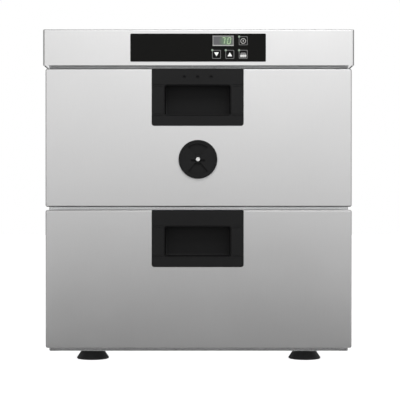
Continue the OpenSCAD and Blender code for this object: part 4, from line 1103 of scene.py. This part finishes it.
# ------------ cord gland
# Black polyamide gland in the tray's rear wall, with a fluted clamping dome and a hexagon outside and
# its lock nut inside.
gland_black = finish("black polyamide", (0.012, 0.012, 0.0125), 0, 0.45, 1800,
                     tint=0.15, relief=30, worn=0.3, gloss=0.15)
gland_low, gland_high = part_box("cable_gland")
GLAND_HEX = 0.0125
GLAND_THREAD = 0.008
GLAND_BORE = 0.0045
gland_at = middle_of("gland_nut")
wall_y = back_high.y - SHEET - FIT
out = gland_high.y - wall_y
inward = wall_y - gland_low.y
FLUTES = 12
FLUTE_RADIUS = 0.0011
FLUTE_CIRCLE = 0.0105
gland = turned("gland", [
    (GLAND_BORE, -inward), (GLAND_THREAD - 0.0004, -inward), (GLAND_THREAD, -inward + 0.0004),
    (GLAND_THREAD, 0.004), (0.0096, 0.0045), (0.01, 0.006), (0.01, out - 0.005), (0.0095, out - 0.0028),
    (0.0085, out - 0.001), (0.0072, out), (0.0055, out), (GLAND_BORE, out - 0.0008), (GLAND_BORE, -inward)], 48)
combine(gland, joined("flutes", [
    rod(FLUTE_RADIUS, 0.0068, out - 0.0015, (x * FLUTE_CIRCLE, y * FLUTE_CIRCLE, 0), sides=12)
    for x, y in [(math.cos(a), math.sin(a)) for a in [2 * math.pi * k / FLUTES for k in range(FLUTES)]]]))


def hexagon(name, low, high, bore):
    nut = rod(GLAND_HEX, low, high, sides=6)
    combine(nut, rod(bore, low - OVER, high + OVER, sides=48))
    nut.name = name
    return soften(nut, 0.0006, 2, 25)


combine(gland, hexagon("hexagon", 0, 0.006, GLAND_THREAD - 0.0005), "UNION")
lock_nut = hexagon("gland_lock_nut", -SHEET - 0.005, -SHEET, GLAND_THREAD + 0.0001)
for piece, node in ((gland, "cable_gland"), (lock_nut, "gland_nut")):
    placed(piece, (gland_at.x, wall_y, gland_at.z), BACKWARD)
    done(piece, gland_black, "cabinet", "gland_plastic", node)


# ------------ studio
# A pale floor under a white background. Cards that only mirrored rays see lie and stand in front of
# the cabinet, as a photographer's do: a dark wedge on the floor, wider away from the cabinet, darkens
# the steel downwards, and dim strips shade its sides. A fill lamp, not mirrored, evens the mouldings.
bpy.ops.mesh.primitive_plane_add(size=14)
floor = bpy.context.object
floor.name = "floor"
floor_material, tree = new_material("pale floor")
matt = feed(tree, tree.nodes["Principled BSDF"], Base_Color=(0.8, 0.8, 0.8, 1), Roughness=0.9)["BSDF"]


def background_seen(tree):
    """Is 1 for the rays that see the background: the camera's, mirrored ones and those through glass."""
    rays = added(tree, "LightPath")
    seen = maths(tree, "MAXIMUM", rays["Is Camera Ray"], rays["Is Glossy Ray"])
    return maths(tree, "MAXIMUM", seen, rays["Is Transmission Ray"])


FLOOR_SEEN = 0.82
FLOOR_MIRRORED = 0.45
WORLD_LIGHT = 0.55
mirrored_light = maths(tree, "MULTIPLY", background_seen(tree), FLOOR_MIRRORED)
whitened = added(tree, "Mix", Factor=added(tree, "LightPath")["Is Camera Ray"], A=mirrored_light, B=FLOOR_SEEN)
white = added(tree, "Emission", Strength=whitened["Result"])["Emission"]
feed(tree, tree.nodes["Material Output"], Surface=added(tree, "AddShader", matt, white)["Shader"])
floor.data.materials.append(floor_material)

scene = bpy.context.scene
scene.view_settings.view_transform = "Standard"
scene.world = bpy.data.worlds.new("studio")
scene.world.use_nodes = True
tree = scene.world.node_tree
strength = added(tree, "Mix", Factor=background_seen(tree), A=WORLD_LIGHT, B=1.0)["Result"]
feed(tree, tree.nodes["Background"], Color=(1, 1, 1, 1), Strength=strength)


def aimed(thing, place, aim, face):
    """Puts a card or a lamp at its place with its face towards its aim."""
    thing.location = place
    thing.rotation_euler = (Vector(aim) - Vector(place)).to_track_quat(face, "Y").to_euler()
    return thing


def card(name, size, place, aim, brightness):
    """A flat grey card that faces its aim and that only mirrored rays see."""
    bpy.ops.mesh.primitive_plane_add(size=1)
    sheet = bpy.context.object
    sheet.name = name
    sheet.scale = (*size, 1)
    settled(aimed(sheet, place, aim, "Z"))
    paper, tree = new_material(name)
    feed(tree, tree.nodes["Material Output"], Surface=added(tree, "Emission", Strength=brightness)["Emission"])
    sheet.data.materials.append(paper)
    sheet.visible_camera = sheet.visible_diffuse = sheet.visible_shadow = sheet.visible_transmission = False
    return sheet


MAT_LENGTH = 5
MAT_NEAR, MAT_FAR = 0.6, 4.0
MAT_GAP = 0.015
MAT_BRIGHTNESS = 0.07
mat_middle = face_y - MAT_GAP - MAT_LENGTH / 2
mat = card("mat", (MAT_NEAR, MAT_LENGTH), (0, mat_middle, 0.0005), (0, mat_middle, 1), MAT_BRIGHTNESS)
with shaping(mat, "VERT", lambda at, way: at.y < mat_middle):
    far_end = (0, mat_middle - MAT_LENGTH / 2, 0)
    bpy.ops.transform.resize(value=(MAT_FAR / MAT_NEAR, 1, 1), center_override=far_end)
card("left strip", (1.6, 3), (-1.9, face_y - 1.6, 1.2), (0, face_y, 0.3), 0.15)
card("right strip", (1.1, 3), (2.0, face_y - 1.0, 1.2), (0, face_y, 0.3), 0.15)
card("top strip", (2.4, 1.0), (0, face_y - 1.0, 2.6), (0, face_y, 0.5), 0.2)


def lamp(name, place, aim, size, power):
    bpy.ops.object.light_add(type="AREA")
    light = bpy.context.object
    light.name = name
    light.data.shape = "RECTANGLE"
    light.data.size, light.data.size_y = size
    light.data.energy = power
    return aimed(light, place, aim, "-Z")


SOFT_BOX_POWER, FILL_POWER = 23, 14
lamp("soft box", (0.2, -2.1, 1.9), (0, face_y, 0.35), (1.0, 1.0), SOFT_BOX_POWER)
fill = lamp("fill", (0, -2.4, 0.5), (0, face_y, 0.3), (1.0, 1.0), FILL_POWER)
fill.visible_glossy = False
